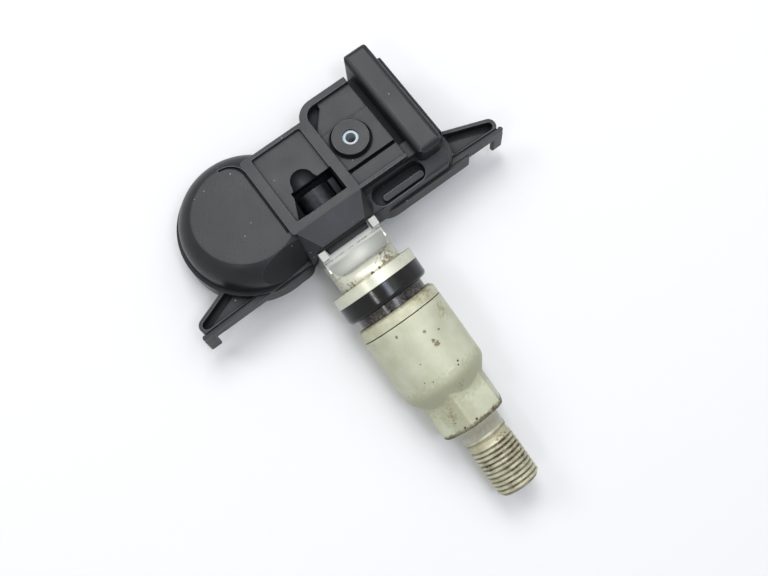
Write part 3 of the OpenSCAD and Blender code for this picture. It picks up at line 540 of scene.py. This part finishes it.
@dataclass(frozen=True)
class AgedAluminium(Finish):
    """Turned aluminium that years on a wheel have dulled to a greenish grey.

    Corrosion has left small brown specks and pits, and road dirt sits where two turned faces
    meet.
    """

    speck: str = "#6A5B45"
    speck_cell_mm: float = 1.9
    speck_mm: float = 0.16
    speck_share: float = 0.16
    fray_mm: float = 0.35
    fray_reach_mm: float = 0.5

    def specks(self, ground: Ground) -> Socket:
        """Picks small ragged spots: near a cell's middle, in the share of cells picked.

        Args:
            ground: What the finish is drawn on.

        Returns:
            1 on a speck, 0 elsewhere.
        """
        tree = ground.tree
        ragged = add_node(tree, "TexNoise", {
            "Vector": ground.place, "Scale": 1000 / self.fray_mm})
        moved = add_node(tree, "VectorMath", {
            0: ragged.outputs["Color"], 1: (self.fray_reach_mm * MM,) * 3, 2: ground.place},
            operation="MULTIPLY_ADD")
        cells = add_node(tree, "TexVoronoi", {
            "Vector": moved, "Scale": 1000 / self.speck_cell_mm})
        near = add_node(tree, "MapRange", {
            "Value": cells,
            "From Min": 0.5 * self.speck_mm / self.speck_cell_mm,
            "From Max": self.speck_mm / self.speck_cell_mm, "To Min": 1.0, "To Max": 0.0})
        chance = add_node(tree, "SeparateColor", {"Color": cells.outputs["Color"]})
        picked = add_node(tree, "Math", {
            0: chance.outputs["Green"], 1: 1 - self.speck_share}, operation="GREATER_THAN")
        return add_node(tree, "Math", {
            0: near, 1: picked},
            operation="MULTIPLY").outputs[0]

    def bare(self, ground: Ground) -> Socket:
        """Adds the specks to the two tones."""
        return self.coat(ground, Finish.bare(self, ground), self.specks(ground), self.speck)


@dataclass(frozen=True)
class MilledStem(AgedAluminium):
    """The stem's aluminium: dulled where it was turned, bright where the saddle is milled."""

    bright: str = "#9B9C96"
    bright_rough: float = 0.5
    saddle_y: float = 6.9
    saddle_z: float = 5.0
    saddle_r: float = 2.98

    def milled(self, ground: Ground) -> Socket:
        """Finds the milled faces.

        They lie within the cutter's radius of its axis, or past that axis on the foot.

        Args:
            ground: What the finish is drawn on.

        Returns:
            1 on a milled face, 0 elsewhere.
        """
        tree = ground.tree
        flat = add_node(tree, "VectorMath", {0: ground.place, 1: (0.0, 1.0, 1.0)},
                        operation="MULTIPLY")
        away = add_node(tree, "VectorMath", {
            0: flat, 1: (0.0, self.saddle_y * MM, self.saddle_z * MM)},
            operation="DISTANCE")
        inside = add_node(tree, "Math", {
            0: away.outputs["Value"], 1: self.saddle_r * MM}, operation="LESS_THAN")
        along = add_node(tree, "SeparateXYZ", {"Vector": ground.place})
        past = add_node(tree, "Math", {
            0: along.outputs["Y"], 1: (self.saddle_y - 0.05) * MM}, operation="GREATER_THAN")
        return add_node(tree, "Math", {
            0: inside, 1: past}, operation="MAXIMUM").outputs[0]

    def bare(self, ground: Ground) -> Socket:
        """Adds the bright of the milled faces to the dulled metal."""
        return self.coat(ground, AgedAluminium.bare(self, ground), self.milled(ground),
                         self.bright)

    def rough(self, ground: Ground) -> Socket:
        """Gives the milled faces a roughness of their own."""
        mix = add_node(ground.tree, "Mix", {
            "Factor": self.milled(ground), "A": AgedAluminium.rough(self, ground),
            "B": self.bright_rough}, data_type="FLOAT")
        return mix.outputs["Result"]


@dataclass(frozen=True)
class GrimyThread(AgedAluminium):
    """Rolled cap thread, with grime and painted shade in its roots.

    The crests are rubbed bright by caps, and the roots are painted dark, for dried dirt and for
    the shade in them.
    """

    root_mm: float = 3.4
    crest_mm: float = 3.8
    root_dirt_and_shade: str = "#4D4233"
    grime_mm: float = 1.6
    dried: Layer = Layer("#5E4B31", ())

    def colour(self, ground: Ground) -> Socket:
        """Darkens the thread's roots, as grime and painted shade, and more of it where the marks
        lie.

        Args:
            ground: What the finish is drawn on.

        Returns:
            The base colour.
        """
        tree = ground.tree
        colour = Finish.colour(self, ground)
        # Painted shade with grime: the roots darken with depth, more where a noise is high.
        flat = add_node(tree, "VectorMath", {0: ground.place, 1: (1.0, 0.0, 1.0)},
                        operation="MULTIPLY")
        radius = add_node(tree, "VectorMath", {0: flat},
                          operation="LENGTH")
        depth = add_node(tree, "MapRange", {
            "Value": radius.outputs["Value"], "From Min": self.root_mm * MM,
            "From Max": (self.crest_mm - 0.22) * MM, "To Min": 1.0, "To Max": 0.0})
        noise = add_node(tree, "TexNoise", {
            "Vector": ground.place, "Scale": 1000 / self.grime_mm, "Detail": 5.0,
            "Roughness": 0.65})
        where = add_node(tree, "MapRange", {
            "Value": noise, "From Min": 0.38, "From Max": 0.62,
            "To Min": 0.3, "To Max": 1.0})
        root_dirt_and_shade_mask = add_node(tree, "Math", {
            0: depth, 1: where}, operation="MULTIPLY")
        colour = self.coat(ground, colour, root_dirt_and_shade_mask.outputs[0], self.root_dirt_and_shade)
        lain = add_node(tree, "MapRange", {
            "Value": radius.outputs["Value"], "From Min": (self.crest_mm - 0.1) * MM,
            "From Max": (self.crest_mm + 0.05) * MM, "To Min": 1.0, "To Max": 0.45})
        patch = add_node(tree, "Math", {
            0: self.layer_marks(ground, self.dried), 1: lain},
            operation="MULTIPLY")
        return self.coat(ground, colour, patch.outputs[0], self.dried.tone)


@dataclass(frozen=True)
class FinishBook:
    """Every finish of the object, one for each kind of surface."""

    # The grain is drawn coarser than the real 0.1 mm, so that it shows.
    nylon: Finish = MouldedNylon(
        "moulded_black_nylon", tone="#1D1F21", shade="#16181A", patch_mm=5.0,
        roughness=(0.3, 0.4), grain_mm=0.3, grain_depth_mm=0.02, edge_mm=0.32, ior=1.53,
        gloss=0.22)
    # Oxide dulls the metal, so the turned parts' metallic values lie between bare and grey.
    stem: Finish = MilledStem(
        "turned_aluminium_stem", tone="#C9CABB", shade="#BCBDAA", patch_mm=3.0,
        roughness=(0.3, 0.42), metallic=0.5, grain_mm=0.1, grain_depth_mm=0.003,
        edge_mm=0.12, speck_share=0.1,
        bands=(Band("#8C8465", -2.05, 0.5, 0.6, 0.6), Band("#3D3A33", -7.35, 0.3, 0.35, 0.9),
               Band("#716C60", -4.3, 0.35, 0.5, 0.5), Band("#A3987C", 28.2, 1.4, 0.6, 0.5)),
        layers=(
            Layer("#5B482C", (
                (2.2, 2.2, 5.1, 1.1), (3.2, 2.6, 4.6, 1.4), (2.9, 3.8, 4.8, 1.0),
                (-4.1, 1.95, 4.0, 1.0), (-5.2, 1.95, 2.2, 1.1)), 0.45, 3.2, 0.35, 0.8),
            Layer("#4A3820", ((-0.4, 2.0, 5.6, 0.45), (1.0, 2.1, 5.5, 0.3)))))
    washer: Finish = AgedAluminium(
        "turned_aluminium_washer", tone="#BCBDA6", shade="#ABA98F", patch_mm=1.6,
        roughness=(0.5, 0.65), metallic=0.35, grain_mm=0.1, grain_depth_mm=0.004,
        edge_mm=0.12, bands=(Band("#7A775E", 4.62, 0.4, 0.9, 0.75),),
        layers=(Layer("#7A6A4A", ((4.6, -5.0, 5.2, 1.8), (3.0, -4.9, 6.4, 1.2)),
                      0.6, 2.5, 0.6, 0.6),))
    nut: Finish = AgedAluminium(
        "dulled_aluminium_nut", tone="#B8BAA5", shade="#ABAC95", patch_mm=3.0,
        roughness=(0.5, 0.64), metallic=0.3, grain_mm=0.12, grain_depth_mm=0.003,
        edge_mm=0.15, speck_cell_mm=2.4, speck_mm=0.15, speck_share=0.14,
        # Painted shade: the band at station 19.9 darkens the shoulder, whose slope faces away
        # from the lamps.
        bands=(Band("#3E382B", 6.71, 0.11, 1.5, 0.9), Band("#999A80", 19.9, 2.6, 1.2, 0.75),
               Band("#4C412B", 26.75, 0.75, 0.8, 0.9)),
        layers=(
            # Painted shade: a broad patch darkens the hexagon's left flat, which the lamps light
            # less.
            Layer("#9A9B7E", ((-2.6, -24.0, 4.9, 3.6),), 1.2, 1.5, 1.4, 0.55),
            Layer("#7E6C49", (
                (4.7, -26.0, 3.6, 1.1), (-3.4, -23.6, 4.7, 1.6), (0.63, -20.42, 6.5, 0.9),
                (-1.44, -20.7, 5.6, 0.8), (5.4, -9.0, 5.0, 1.5)), 0.5, 2.5, 0.45, 0.55),
            Layer("#54431F", (
                (1.16, -12.66, 7.26, 0.6), (1.0, -12.0, 7.28, 0.4), (0.71, -10.02, 7.32, 0.35),
                (-3.29, -8.22, 6.57, 0.35), (2.78, -11.07, 6.8, 0.25), (-3.3, -23.1, 4.8, 0.45),
                (-3.45, -23.7, 4.7, 0.4), (-3.6, -24.4, 4.6, 0.45), (-3.7, -24.9, 4.45, 0.5),
                (-4.2, -24.0, 4.1, 0.4)), 0.35, 1.8, 0.7, 0.85),
            Layer("#3F2E1B", (
                (2.35, -16.78, 6.96, 0.24), (2.05, -17.33, 7.06, 0.2),
                (-2.77, -13.84, 6.81, 0.14), (-2.72, -17.23, 6.83, 0.14),
                (-3.88, -16.66, 6.24, 0.14), (0.63, -20.42, 6.5, 0.28), (-2.44, -19.45, 6.1, 0.2),
                (4.75, -26.3, 3.6, 0.75), (4.7, -25.6, 3.8, 0.4), (-2.7, -26.3, 5.1, 0.3),
                (-0.4, -26.1, 5.7, 0.3), (2.9, -26.5, 5.0, 0.35)), 0.25, 0.8)))
    thread: Finish = GrimyThread(
        "rolled_cap_thread", tone="#B7B59D", shade="#A09D84", patch_mm=1.4,
        roughness=(0.4, 0.55), metallic=0.4, grain_mm=0.1, grain_depth_mm=0.004,
        edge_mm=0.03, speck_share=0.12,
        bands=(Band("#A89A78", 30.6, 1.2, 0.6, 0.35), Band("#6A6552", 29.98, 0.12, 1.6, 0.75)),
        dried=Layer("#54452C", (
                (1.7, -32.15, 3.5, 1.5), (0.1, -32.6, 3.8, 1.3), (1.9, -33.6, 3.3, 1.5),
                (-1.0, -33.2, 3.7, 1.1), (0.5, -34.6, 3.7, 1.2), (-0.9, -35.6, 3.7, 1.0),
                (0.2, -36.8, 3.8, 0.9), (-1.8, -38.5, 3.4, 0.8), (3.4, -34.0, 1.8, 1.3),
                (-3.0, -34.2, 2.4, 1.2), (2.6, -36.0, 2.9, 1.3)), 0.5, 2.8, 0.75, 0.85))
    rubber: Finish = DustyRubber(
        "moulded_seal_rubber", tone="#0F1011", shade="#09090A", patch_mm=1.2,
        roughness=(0.12, 0.22), grain_mm=0.3, grain_depth_mm=0.003, edge_mm=0.2, ior=1.52,
        gloss=0.26)
    # Milky and soft: a pale rim. A gold patch deep in the bore is a painted reflection
    # of the gilded lid.
    silicone: Finish = Finish(
        "moulded_port_silicone", tone="#AAB6BC", shade="#96A4AD", patch_mm=0.8,
        roughness=(0.3, 0.4), edge_mm=0.08, ior=1.41,
        layers=(Layer("#C79F52", ((10.55, 21.3, -0.5, 0.6),), 0.3, 0.6),))
    # Warm glints at the bottom of the port.
    gilt: Finish = Finish(
        "gilded_chip_lid", tone="#E0C078", shade="#CBA556", patch_mm=0.7,
        roughness=(0.3, 0.42), metallic=0.6, edge_mm=0.05)
    # Warm, bright and lightly brushed where the core's tip shows in the bore.
    brass: Finish = Finish(
        "turned_brass", tone="#C2A35E", shade="#A88748", patch_mm=0.9,
        roughness=(0.28, 0.42), metallic=1.0, edge_mm=0.05)
    # Cool, even and blurred, as thin plating on pressed steel is.
    steel: Finish = Finish(
        "nickel_plated_steel", tone="#B9BBBC", shade="#A6A8AA", patch_mm=2.5,
        roughness=(0.25, 0.38), metallic=1.0, edge_mm=0.08)
    # Dark, with a soft shine on the rim of the screw's head.
    dark_steel: Finish = Finish(
        "blackened_screw_steel", tone="#2B2C30", shade="#1D1E22", patch_mm=1.0,
        roughness=(0.3, 0.42), metallic=0.6, edge_mm=0.15)
    # Smooth green lacquer over glass laminate.
    board: Finish = Finish(
        "solder_masked_board", tone="#1F5637", shade="#19482E", patch_mm=1.5,
        roughness=(0.3, 0.4), edge_mm=0.05)
    # Dull black, as moulded epoxy is.
    chip: Finish = Finish(
        "moulded_chip_package", tone="#232427", shade="#1B1C1F", patch_mm=1.0,
        roughness=(0.5, 0.62), edge_mm=0.06)
    # Wet-looking black, with slow waves from its setting.
    resin: Finish = Finish(
        "poured_potting_resin", tone="#232528", shade="#1B1C1F", patch_mm=6.0,
        roughness=(0.12, 0.26), grain_mm=3.0, grain_depth_mm=0.05, edge_mm=0.2, ior=1.55)
    # Dull tan.
    ceramic: Finish = Finish(
        "fired_ceramic", tone="#A88C66", shade="#94794F", patch_mm=0.6,
        roughness=(0.45, 0.6), edge_mm=0.04)
    # Dull grey, like fired clay.
    ferrite: Finish = Finish(
        "sintered_ferrite", tone="#3A3A3D", shade="#2E2E31", patch_mm=0.8,
        roughness=(0.5, 0.7), edge_mm=0.06)
    # Orange under a clear shine.
    copper: Finish = Finish(
        "lacquered_copper_wire", tone="#A0562B", shade="#8A4520", patch_mm=0.5,
        roughness=(0.25, 0.4), metallic=1.0, edge_mm=0.06)
    # Dull red.
    seal: Finish = Finish(
        "core_seal_compound", tone="#7A2A22", shade="#66211B", patch_mm=0.6,
        roughness=(0.5, 0.6), edge_mm=0.05)

    def by_node(self) -> dict[str, Finish]:
        """Finish of each node that the CAD model carries over as it is."""
        return {
            "housing": self.nylon, "potting_resin": self.resin, "circuit_board": self.board,
            "battery_cell": self.steel, "battery_tab_positive": self.steel,
            "battery_tab_negative": self.steel, "sensor_chip": self.chip,
            "chip_lid": self.gilt, "port_sleeve": self.silicone,
            "controller_chip": self.chip, "crystal": self.steel, "passives": self.ceramic,
            "coil_core": self.ferrite, "coil_winding": self.copper,
            "antenna_loop": self.brass, "sensor_screw": self.dark_steel,
            "grommet": self.rubber, "nut_washer": self.washer, "core_body": self.brass,
            "core_gasket": self.seal, "core_pin": self.brass, "core_seal": self.rubber,
            "core_spring": self.steel,
        }


# Sub-assemblies


@dataclass
class ValveStem:
    """The stem: the CAD node's foot, neck and shank, and a tip with its rolled cap thread.

    Attributes:
        cut_station: Where the tip's own surface takes over from the CAD node's.
        thread_station: Start of the thread.
        end_station: Tip of the stem.
        plain_radius: Radius of the plain part before the thread.
        relief_radius: Radius of the shallow groove before the thread.
        crest_radius: Radius over the thread's crests.
        root_radius: Radius in the thread's roots.
        bore_radius: Radius of the hole for the valve core.
    """

    finish: Finish
    thread_finish: Finish
    cut_station: float = 29.4
    thread_station: float = 30.9
    end_station: float = 39.9
    plain_radius: float = 3.8
    relief_radius: float = 3.62
    crest_radius: float = 3.85
    root_radius: float = 3.4
    bore_radius: float = 2.64
    lap: float = 0.02  # from the foot's end to the tip's start
    fade: float = 0.9  # length over which the thread starts
    relief_length: float = 0.75
    relief_slope: float = 0.25
    chamfer: float = 0.55
    mouth: float = 0.25  # chamfer at the bore
    nick_angle: float = 0.415
    nick_back: float = 0.7  # from the end to the nick's middle
    nick_size: tuple[float, float, float] = (0.35, 0.09, 0.3)  # length, angle, depth
    columns: int = 144

    def foot(self) -> bpy.types.Object:
        """Copies the CAD node, merges it and cuts it off before the thread.

        Returns:
            The closed foot, neck and shank of the stem.
        """
        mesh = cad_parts["valve_stem"].data.copy()
        mesh.name = "stem_foot"
        work = bmesh.new()
        work.from_mesh(mesh)
        bmesh.ops.remove_doubles(work, verts=work.verts, dist=1e-7)
        geometry = [*work.verts, *work.edges, *work.faces]
        bmesh.ops.bisect_plane(work, geom=geometry, plane_co=(0, -self.cut_station * MM, 0),
                               plane_no=(0, -1, 0), clear_outer=True)
        rim = [edge for edge in work.edges if edge.is_boundary]
        bmesh.ops.bridge_loops(work, edges=rim)
        work.to_mesh(mesh)
        work.free()
        piece = bpy.data.objects.new("stem_foot", mesh)
        bpy.context.scene.collection.objects.link(piece)
        return piece

    def outside(self, stations: np.ndarray, angles: np.ndarray) -> np.ndarray:
        """Radius of the tip's outside.

        The thread is a wave that moves on by one pitch in a turn: root plus depth times a
        rounded triangle of (s / pitch - angle / 2 pi). It fades in from the relief groove and
        is cut by the chamfer at the tip. A nick, a bell curve in station and angle, flattens
        the last crests on one side.

        Args:
            stations: Column of stations in millimetres.
            angles: Row of angles in radians.

        Returns:
            Radii in millimetres, shape (stations, angles).
        """
        phase = (stations - self.thread_station) / THREAD_PITCH - angles / (2 * math.pi)
        wave = 0.5 - 0.5 * np.cos(2 * math.pi * phase)
        tooth = smooth_step((wave - 0.03) / 0.55)
        depth = self.crest_radius - self.root_radius
        start = smooth_step((stations - self.thread_station) / self.fade)
        threaded = self.root_radius + depth * tooth
        relief = self.plain_radius - (self.plain_radius - self.relief_radius) * smooth_step(
            (stations - self.thread_station + self.relief_length) / self.relief_slope)
        radii = relief * (1 - start) + threaded * start
        chamfer = self.crest_radius - self.chamfer * np.clip(
            (stations - self.end_station + self.chamfer) / self.chamfer, 0, 1)
        radii = np.minimum(radii, chamfer + 0 * angles)
        length, spread, deep = self.nick_size
        beside = np.angle(np.exp(1j * (angles - self.nick_angle)))
        nick = np.exp(-((stations - self.end_station + self.nick_back) / length) ** 2
                      - (beside / spread) ** 2)
        return radii - deep * nick

    def tip(self) -> bpy.types.Object:
        """Closes the threaded outside, the tip's face and the bore into one ring.

        Returns:
            The threaded tip.
        """
        angles = np.linspace(0, 2 * math.pi, self.columns, endpoint=False)
        start = self.cut_station + self.lap
        along = np.concatenate([
            np.linspace(start, self.thread_station - 0.9, 6),
            np.linspace(self.thread_station - 0.85, self.end_station, 190)])[:, None]
        outside = turned(along, self.outside(along, angles), angles)
        inward = np.linspace(0, 1, 4)[1:, None]
        last = self.outside(along[-1:], angles)
        face = turned(np.full((3, 1), self.end_station),
                      last + (self.bore_radius + self.mouth - last) * inward, angles)
        back = np.linspace(self.end_station - self.mouth, start, 14)[:, None]
        bore = turned(back, self.bore_radius + 0 * back * angles, angles)
        return grid_mesh("threaded_tip", np.concatenate([outside, face, bore]))

    def build(self) -> list[bpy.types.Object]:
        """Builds and dresses the stem.

        Returns:
            Its pieces.
        """
        foot, tip = self.foot(), self.tip()
        for piece, finish in ((foot, self.finish), (tip, self.thread_finish)):
            piece.data.materials.clear()
            piece.data.materials.append(finish.build())
            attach(piece, Body.SENSOR.value)
        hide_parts("valve_stem")
        return [foot, tip]


@dataclass
class SleeveNut:
    """The nut: a long turned sleeve, a rounded shoulder and a hexagon with a battered end.

    Attributes:
        start: Station of its face at the washer.
        sleeve: Length of the sleeve.
        shoulder: Length of the shoulder.
        hexagon: Length of the hexagon.
        radius: Radius of the sleeve.
        round_radius: Radius of the arc where the shoulder starts.
        cone_angle: Slope of the shoulder's cone.
        flats: Half of the hexagon's width across its flats.
        corner_angle: Angle of one corner from straight up.
        bore: Radius of the threaded bore.
        throat: Radius of the hole past the thread.
        throat_station: Where the bore narrows to the throat.
    """

    finish: Finish
    start: float = 6.69
    sleeve: float = 11.3
    shoulder: float = 3.3
    hexagon: float = 5.7
    radius: float = 7.35
    round_radius: float = 2.3
    cone_angle: float = math.radians(35.5)
    flats: float = 5.45
    corner_angle: float = math.radians(-15)
    bore: float = 4.54
    throat: float = 4.05
    throat_station: float = 20.2
    face_round: float = 0.3
    corner_cut: float = 0.06  # what the end's cone takes off the corners
    cone_size: tuple[float, float] = (0.6, 0.55)  # length and depth of that cone
    hexagon_blend: float = 0.08
    shoulder_blend: float = 0.12
    battered: float = 0.8  # how far the dents reach from the end
    dent: float = 0.2
    ragged: float = 0.15  # waves of the end's rim
    columns: int = 384

    @property
    def end(self) -> float:
        """Station of the nut's far face."""
        return self.start + self.sleeve + self.shoulder + self.hexagon

    def outside(self, stations: np.ndarray, angles: np.ndarray) -> np.ndarray:
        """Radius of the nut's outside.

        The sleeve is a cylinder. The shoulder falls away on an arc, round radius less
        sqrt(round radius^2 - way^2), until it slopes as the cone does, and then goes on as a
        cone. The hexagon's radius is its half width over the cosine of the angle from the
        middle of the nearest flat, cut by a turned cone. The larger of the two shows, softly
        blended. A few low waves batter the hexagon's end.

        Args:
            stations: Column of stations in millimetres.
            angles: Row of angles in radians.

        Returns:
            Radii in millimetres, shape (stations, angles).
        """
        t = stations - self.start
        face_edge = self.face_round * (1 - np.clip(t / self.face_round, 0, 1)) ** 2
        way = np.clip(t - self.sleeve, 0, None)
        arc_end = self.round_radius * math.sin(self.cone_angle)
        arc = self.round_radius - np.sqrt(
            self.round_radius ** 2 - np.minimum(way, arc_end) ** 2)
        cone_part = math.tan(self.cone_angle) * np.clip(way - arc_end, 0, None)
        turned_part = np.maximum(self.radius - face_edge - arc - cone_part, self.bore)
        sixth = math.pi / 3
        from_flat = (angles - self.corner_angle) % sixth - sixth / 2
        hexagon = self.flats / np.cos(from_flat)
        length, deep = self.cone_size
        cone = self.flats / math.cos(sixth / 2) - self.corner_cut - deep * smooth_step(
            (stations - self.end + length) / length)
        hexagon = soft_min(hexagon, cone + 0 * angles, self.hexagon_blend)
        shape = soft_max(turned_part + 0 * angles, hexagon,
                         self.shoulder_blend * smooth_step(t - self.sleeve) + 1e-4)
        before = t < self.sleeve
        shape = np.where(before, turned_part + 0 * angles, shape)
        battered = smooth_step((stations - self.end + self.battered) / self.battered)
        dents = (np.sin(31 * angles + 1.3) * np.sin(13 * angles) +
                 0.6 * np.sin(43 * angles + 0.7) * np.sin(19 * angles + 2.0))
        return shape - self.dent * battered * np.clip(dents, 0, 1)

    def build(self) -> list[bpy.types.Object]:
        """Builds and dresses the nut.

        Returns:
            Its one piece.
        """
        angles = np.linspace(0, 2 * math.pi, self.columns, endpoint=False)
        along = np.concatenate([
            self.start + np.linspace(0, 0.3, 5), self.start + np.linspace(0.6, self.sleeve, 16),
            self.start + self.sleeve + np.linspace(0.1, self.shoulder, 28),
            self.end - self.hexagon + np.linspace(0.15, self.hexagon - 0.02, 40)])[:, None]
        radii = self.outside(along, angles)
        outside = turned(along, radii, angles)
        inward = np.linspace(0, 1, 6)[1:, None]
        waves = np.sin(29 * angles) * np.sin(17 * angles + 1.0)
        ragged = self.end - self.ragged + self.ragged * waves
        rim = turned(ragged[None, :] + 0 * inward,
                     radii[-1:] + (self.throat + 0.25 - radii[-1:]) * inward, angles)
        back = np.array([self.end - 0.2, self.end - 2, self.throat_station + 0.05,
                         self.throat_station, self.start + 4, self.start + 0.2])[:, None]
        wall = np.array([self.throat, self.throat, self.throat, self.bore, self.bore,
                         self.bore])[:, None]
        inside = turned(back, wall + 0 * angles, angles)
        near = turned(np.full((3, 1), self.start),
                      self.bore + 0.2 + (radii[:1] - self.bore - 0.2) * np.linspace(
                          0, 0.98, 3)[:, None], angles)
        piece = grid_mesh("sleeve_nut", np.concatenate([outside, rim, inside, near]))
        piece.data.materials.append(self.finish.build())
        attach(piece, Body.NUT.value)
        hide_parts("hex_nut")
        return [piece]


@dataclass
class CarriedNodes:
    """The CAD nodes that show as they are, with finishes of their own."""

    finishes: dict[str, Finish]

    def build(self) -> list[bpy.types.Object]:
        """Dresses each node.

        Returns:
            The dressed nodes.
        """
        made: dict[str, bpy.types.Material] = {}
        for name, finish in self.finishes.items():
            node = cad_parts[name]
            if finish.name not in made:
                made[finish.name] = finish.build()
            node.data.materials.clear()
            node.data.materials.append(made[finish.name])
            log.info("%s is %s", name, finish.name)
        return [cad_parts[name] for name in self.finishes]


# Stage


@dataclass
class Studio:
    """A pale floor, soft lamps and a white surround.

    Attributes:
        floor_tone: Colour of the floor.
        rear_foot: Point of the floor under the dome's rear edge, in millimetres.
        front_foot: Point of the floor under the nut, in millimetres.
        reach: How far the floor goes from the object, in millimetres.
    """

    floor_tone: str = "#DEDEDE"
    rear_foot: tuple[float, float] = (33.0, -10.65)
    front_foot: tuple[float, float] = (-7.0, -7.45)
    reach: float = 900.0

    def floor(self) -> bpy.types.Object:
        """Lays the floor against the dome's rear edge and the nut.

        The floor is a plane on a grid: its height falls evenly along Y.

        Returns:
            The floor.
        """
        (y0, z0), (y1, z1) = self.rear_foot, self.front_foot
        slope = (z1 - z0) / (y1 - y0)
        line = np.linspace(-self.reach, self.reach, 5)
        x, y = np.meshgrid(line, line, indexing="ij")
        points = np.stack([x, y, z0 + slope * (y - y0)], axis=-1).reshape(-1, 3) * MM
        at = np.arange(25).reshape(5, 5)
        quads = np.stack([at[:-1, :-1], at[1:, :-1], at[1:, 1:], at[:-1, 1:]], -1).reshape(-1, 4)
        mesh = bpy.data.meshes.new("floor")
        mesh.from_pydata(points.tolist(), [], quads.tolist())
        floor = bpy.data.objects.new("floor", mesh)
        bpy.context.scene.collection.objects.link(floor)
        mesh.materials.append(Finish("matt_pale_floor", self.floor_tone, self.floor_tone,
                                     patch_mm=8.0, roughness=(0.9, 0.95), grain_mm=1.0,
                                     grain_depth_mm=0.01, edge_mm=0.01).build())
        return floor

    def lamp(self, name: str, place: tuple[float, float, float], size: float, power: float,
             tone: str = "#FFFFFF") -> None:
        """Hangs a soft square lamp that faces the object.

        Args:
            name: Name of the lamp.
            place: Where it hangs, in metres.
            size: Length of its side, in metres.
            power: Its power in watts.
            tone: Colour of its light.
        """
        data = bpy.data.lights.new(name, "AREA")
        data.shape, data.size, data.energy = "SQUARE", size, power
        data.color = linear(tone)[:3]
        lamp = bpy.data.objects.new(name, data)
        bpy.context.scene.collection.objects.link(lamp)
        lamp.location = place
        lamp.rotation_mode = "QUATERNION"
        lamp.rotation_quaternion = (-Vector(place)).to_track_quat("-Z", "Y")

    def surround(self) -> None:
        """Lights the object by an even pale world, which shows white to the camera."""
        world = bpy.data.worlds.new("surround")
        bpy.context.scene.world = world
        world.use_nodes = True
        tree = world.node_tree
        tree.nodes.clear()
        path = add_node(tree, "LightPath")
        shown = path.outputs["Is Camera Ray"]
        for ray in ("Is Glossy Ray", "Is Transmission Ray"):
            shown = add_node(tree, "Math", {0: shown, 1: path.outputs[ray]},
                             operation="MAXIMUM").outputs[0]
        even = add_node(tree, "Background", {
            "Color": linear("#F3F6FA"), "Strength": 0.52})
        white = add_node(tree, "Background", {
            "Color": (1.0, 1.0, 1.0, 1.0), "Strength": 1.0})
        mix = add_node(tree, "MixShader", {
            0: shown, 1: even, 2: white})
        add_node(tree, "OutputWorld", {"Surface": mix})

    def build(self) -> None:
        """Sets the floor, the lamps and the surround."""
        self.floor()
        self.surround()
        self.lamp("key", (0.188, 0.184, 0.462), 0.45, 0.9)
        self.lamp("back", (0.080, 0.324, 0.411), 0.23, 1.15)
        self.lamp("left", (-0.256, 0.408, 0.358), 0.20, 0.8)
        self.lamp("front", (0.063, -0.056, 0.542), 0.12, 0.6, "#E8EFFF")
        self.lamp("window", (-0.30, -0.018, 0.46), 0.05, 0.2)


@dataclass
class PhotoCamera:
    """The camera where the photograph was taken from.

    Attributes:
        right: Direction of the picture's right, in the row frame.
        up: Direction of the picture's top.
        back: Direction from the object to the camera.
        place: The camera's place in millimetres.
        focal: Focal length in pixels of the photograph.
    """

    right: tuple[float, float, float] = (0.8049, -0.5810, 0.1208)
    up: tuple[float, float, float] = (0.5799, 0.8133, 0.0472)
    back: tuple[float, float, float] = (-0.1257, 0.0320, 0.9916)
    place: tuple[float, float, float] = (-20.397, 4.202, 164.290)
    focal: float = 1023.74

    def build(self) -> bpy.types.Object:
        """Makes the camera and sets it as the scene's.

        Returns:
            The camera.
        """
        data = bpy.data.cameras.new("photo_camera")
        data.sensor_fit, data.sensor_width = "HORIZONTAL", SENSOR_WIDTH
        data.lens = self.focal / PICTURE_WIDTH * SENSOR_WIDTH
        data.clip_start, data.clip_end = 0.005, 10.0
        camera = bpy.data.objects.new("photo_camera", data)
        bpy.context.scene.collection.objects.link(camera)
        axes = Matrix((self.right, self.up, self.back)).transposed().to_4x4()
        camera.matrix_world = Matrix.Translation(Vector(self.place) * MM) @ axes
        bpy.context.scene.camera = camera
        return camera


def main() -> None:
    """Builds the camera, the pieces and the stage, and reports each piece."""
    logging.basicConfig(level=logging.INFO, format="%(name)s: %(message)s")
    bpy.context.scene.view_settings.view_transform = "Standard"
    finishes = FinishBook()
    PhotoCamera().build()
    assemblies = [
        CarriedNodes(finishes.by_node()),
        ValveStem(finishes.stem, finishes.thread),
        SleeveNut(finishes.nut),
    ]
    for assembly in assemblies:
        for piece in assembly.build():
            log.info("%s: %d faces", piece.name, len(piece.data.polygons))
    Studio().build()


if __name__ == "__main__":
    main()
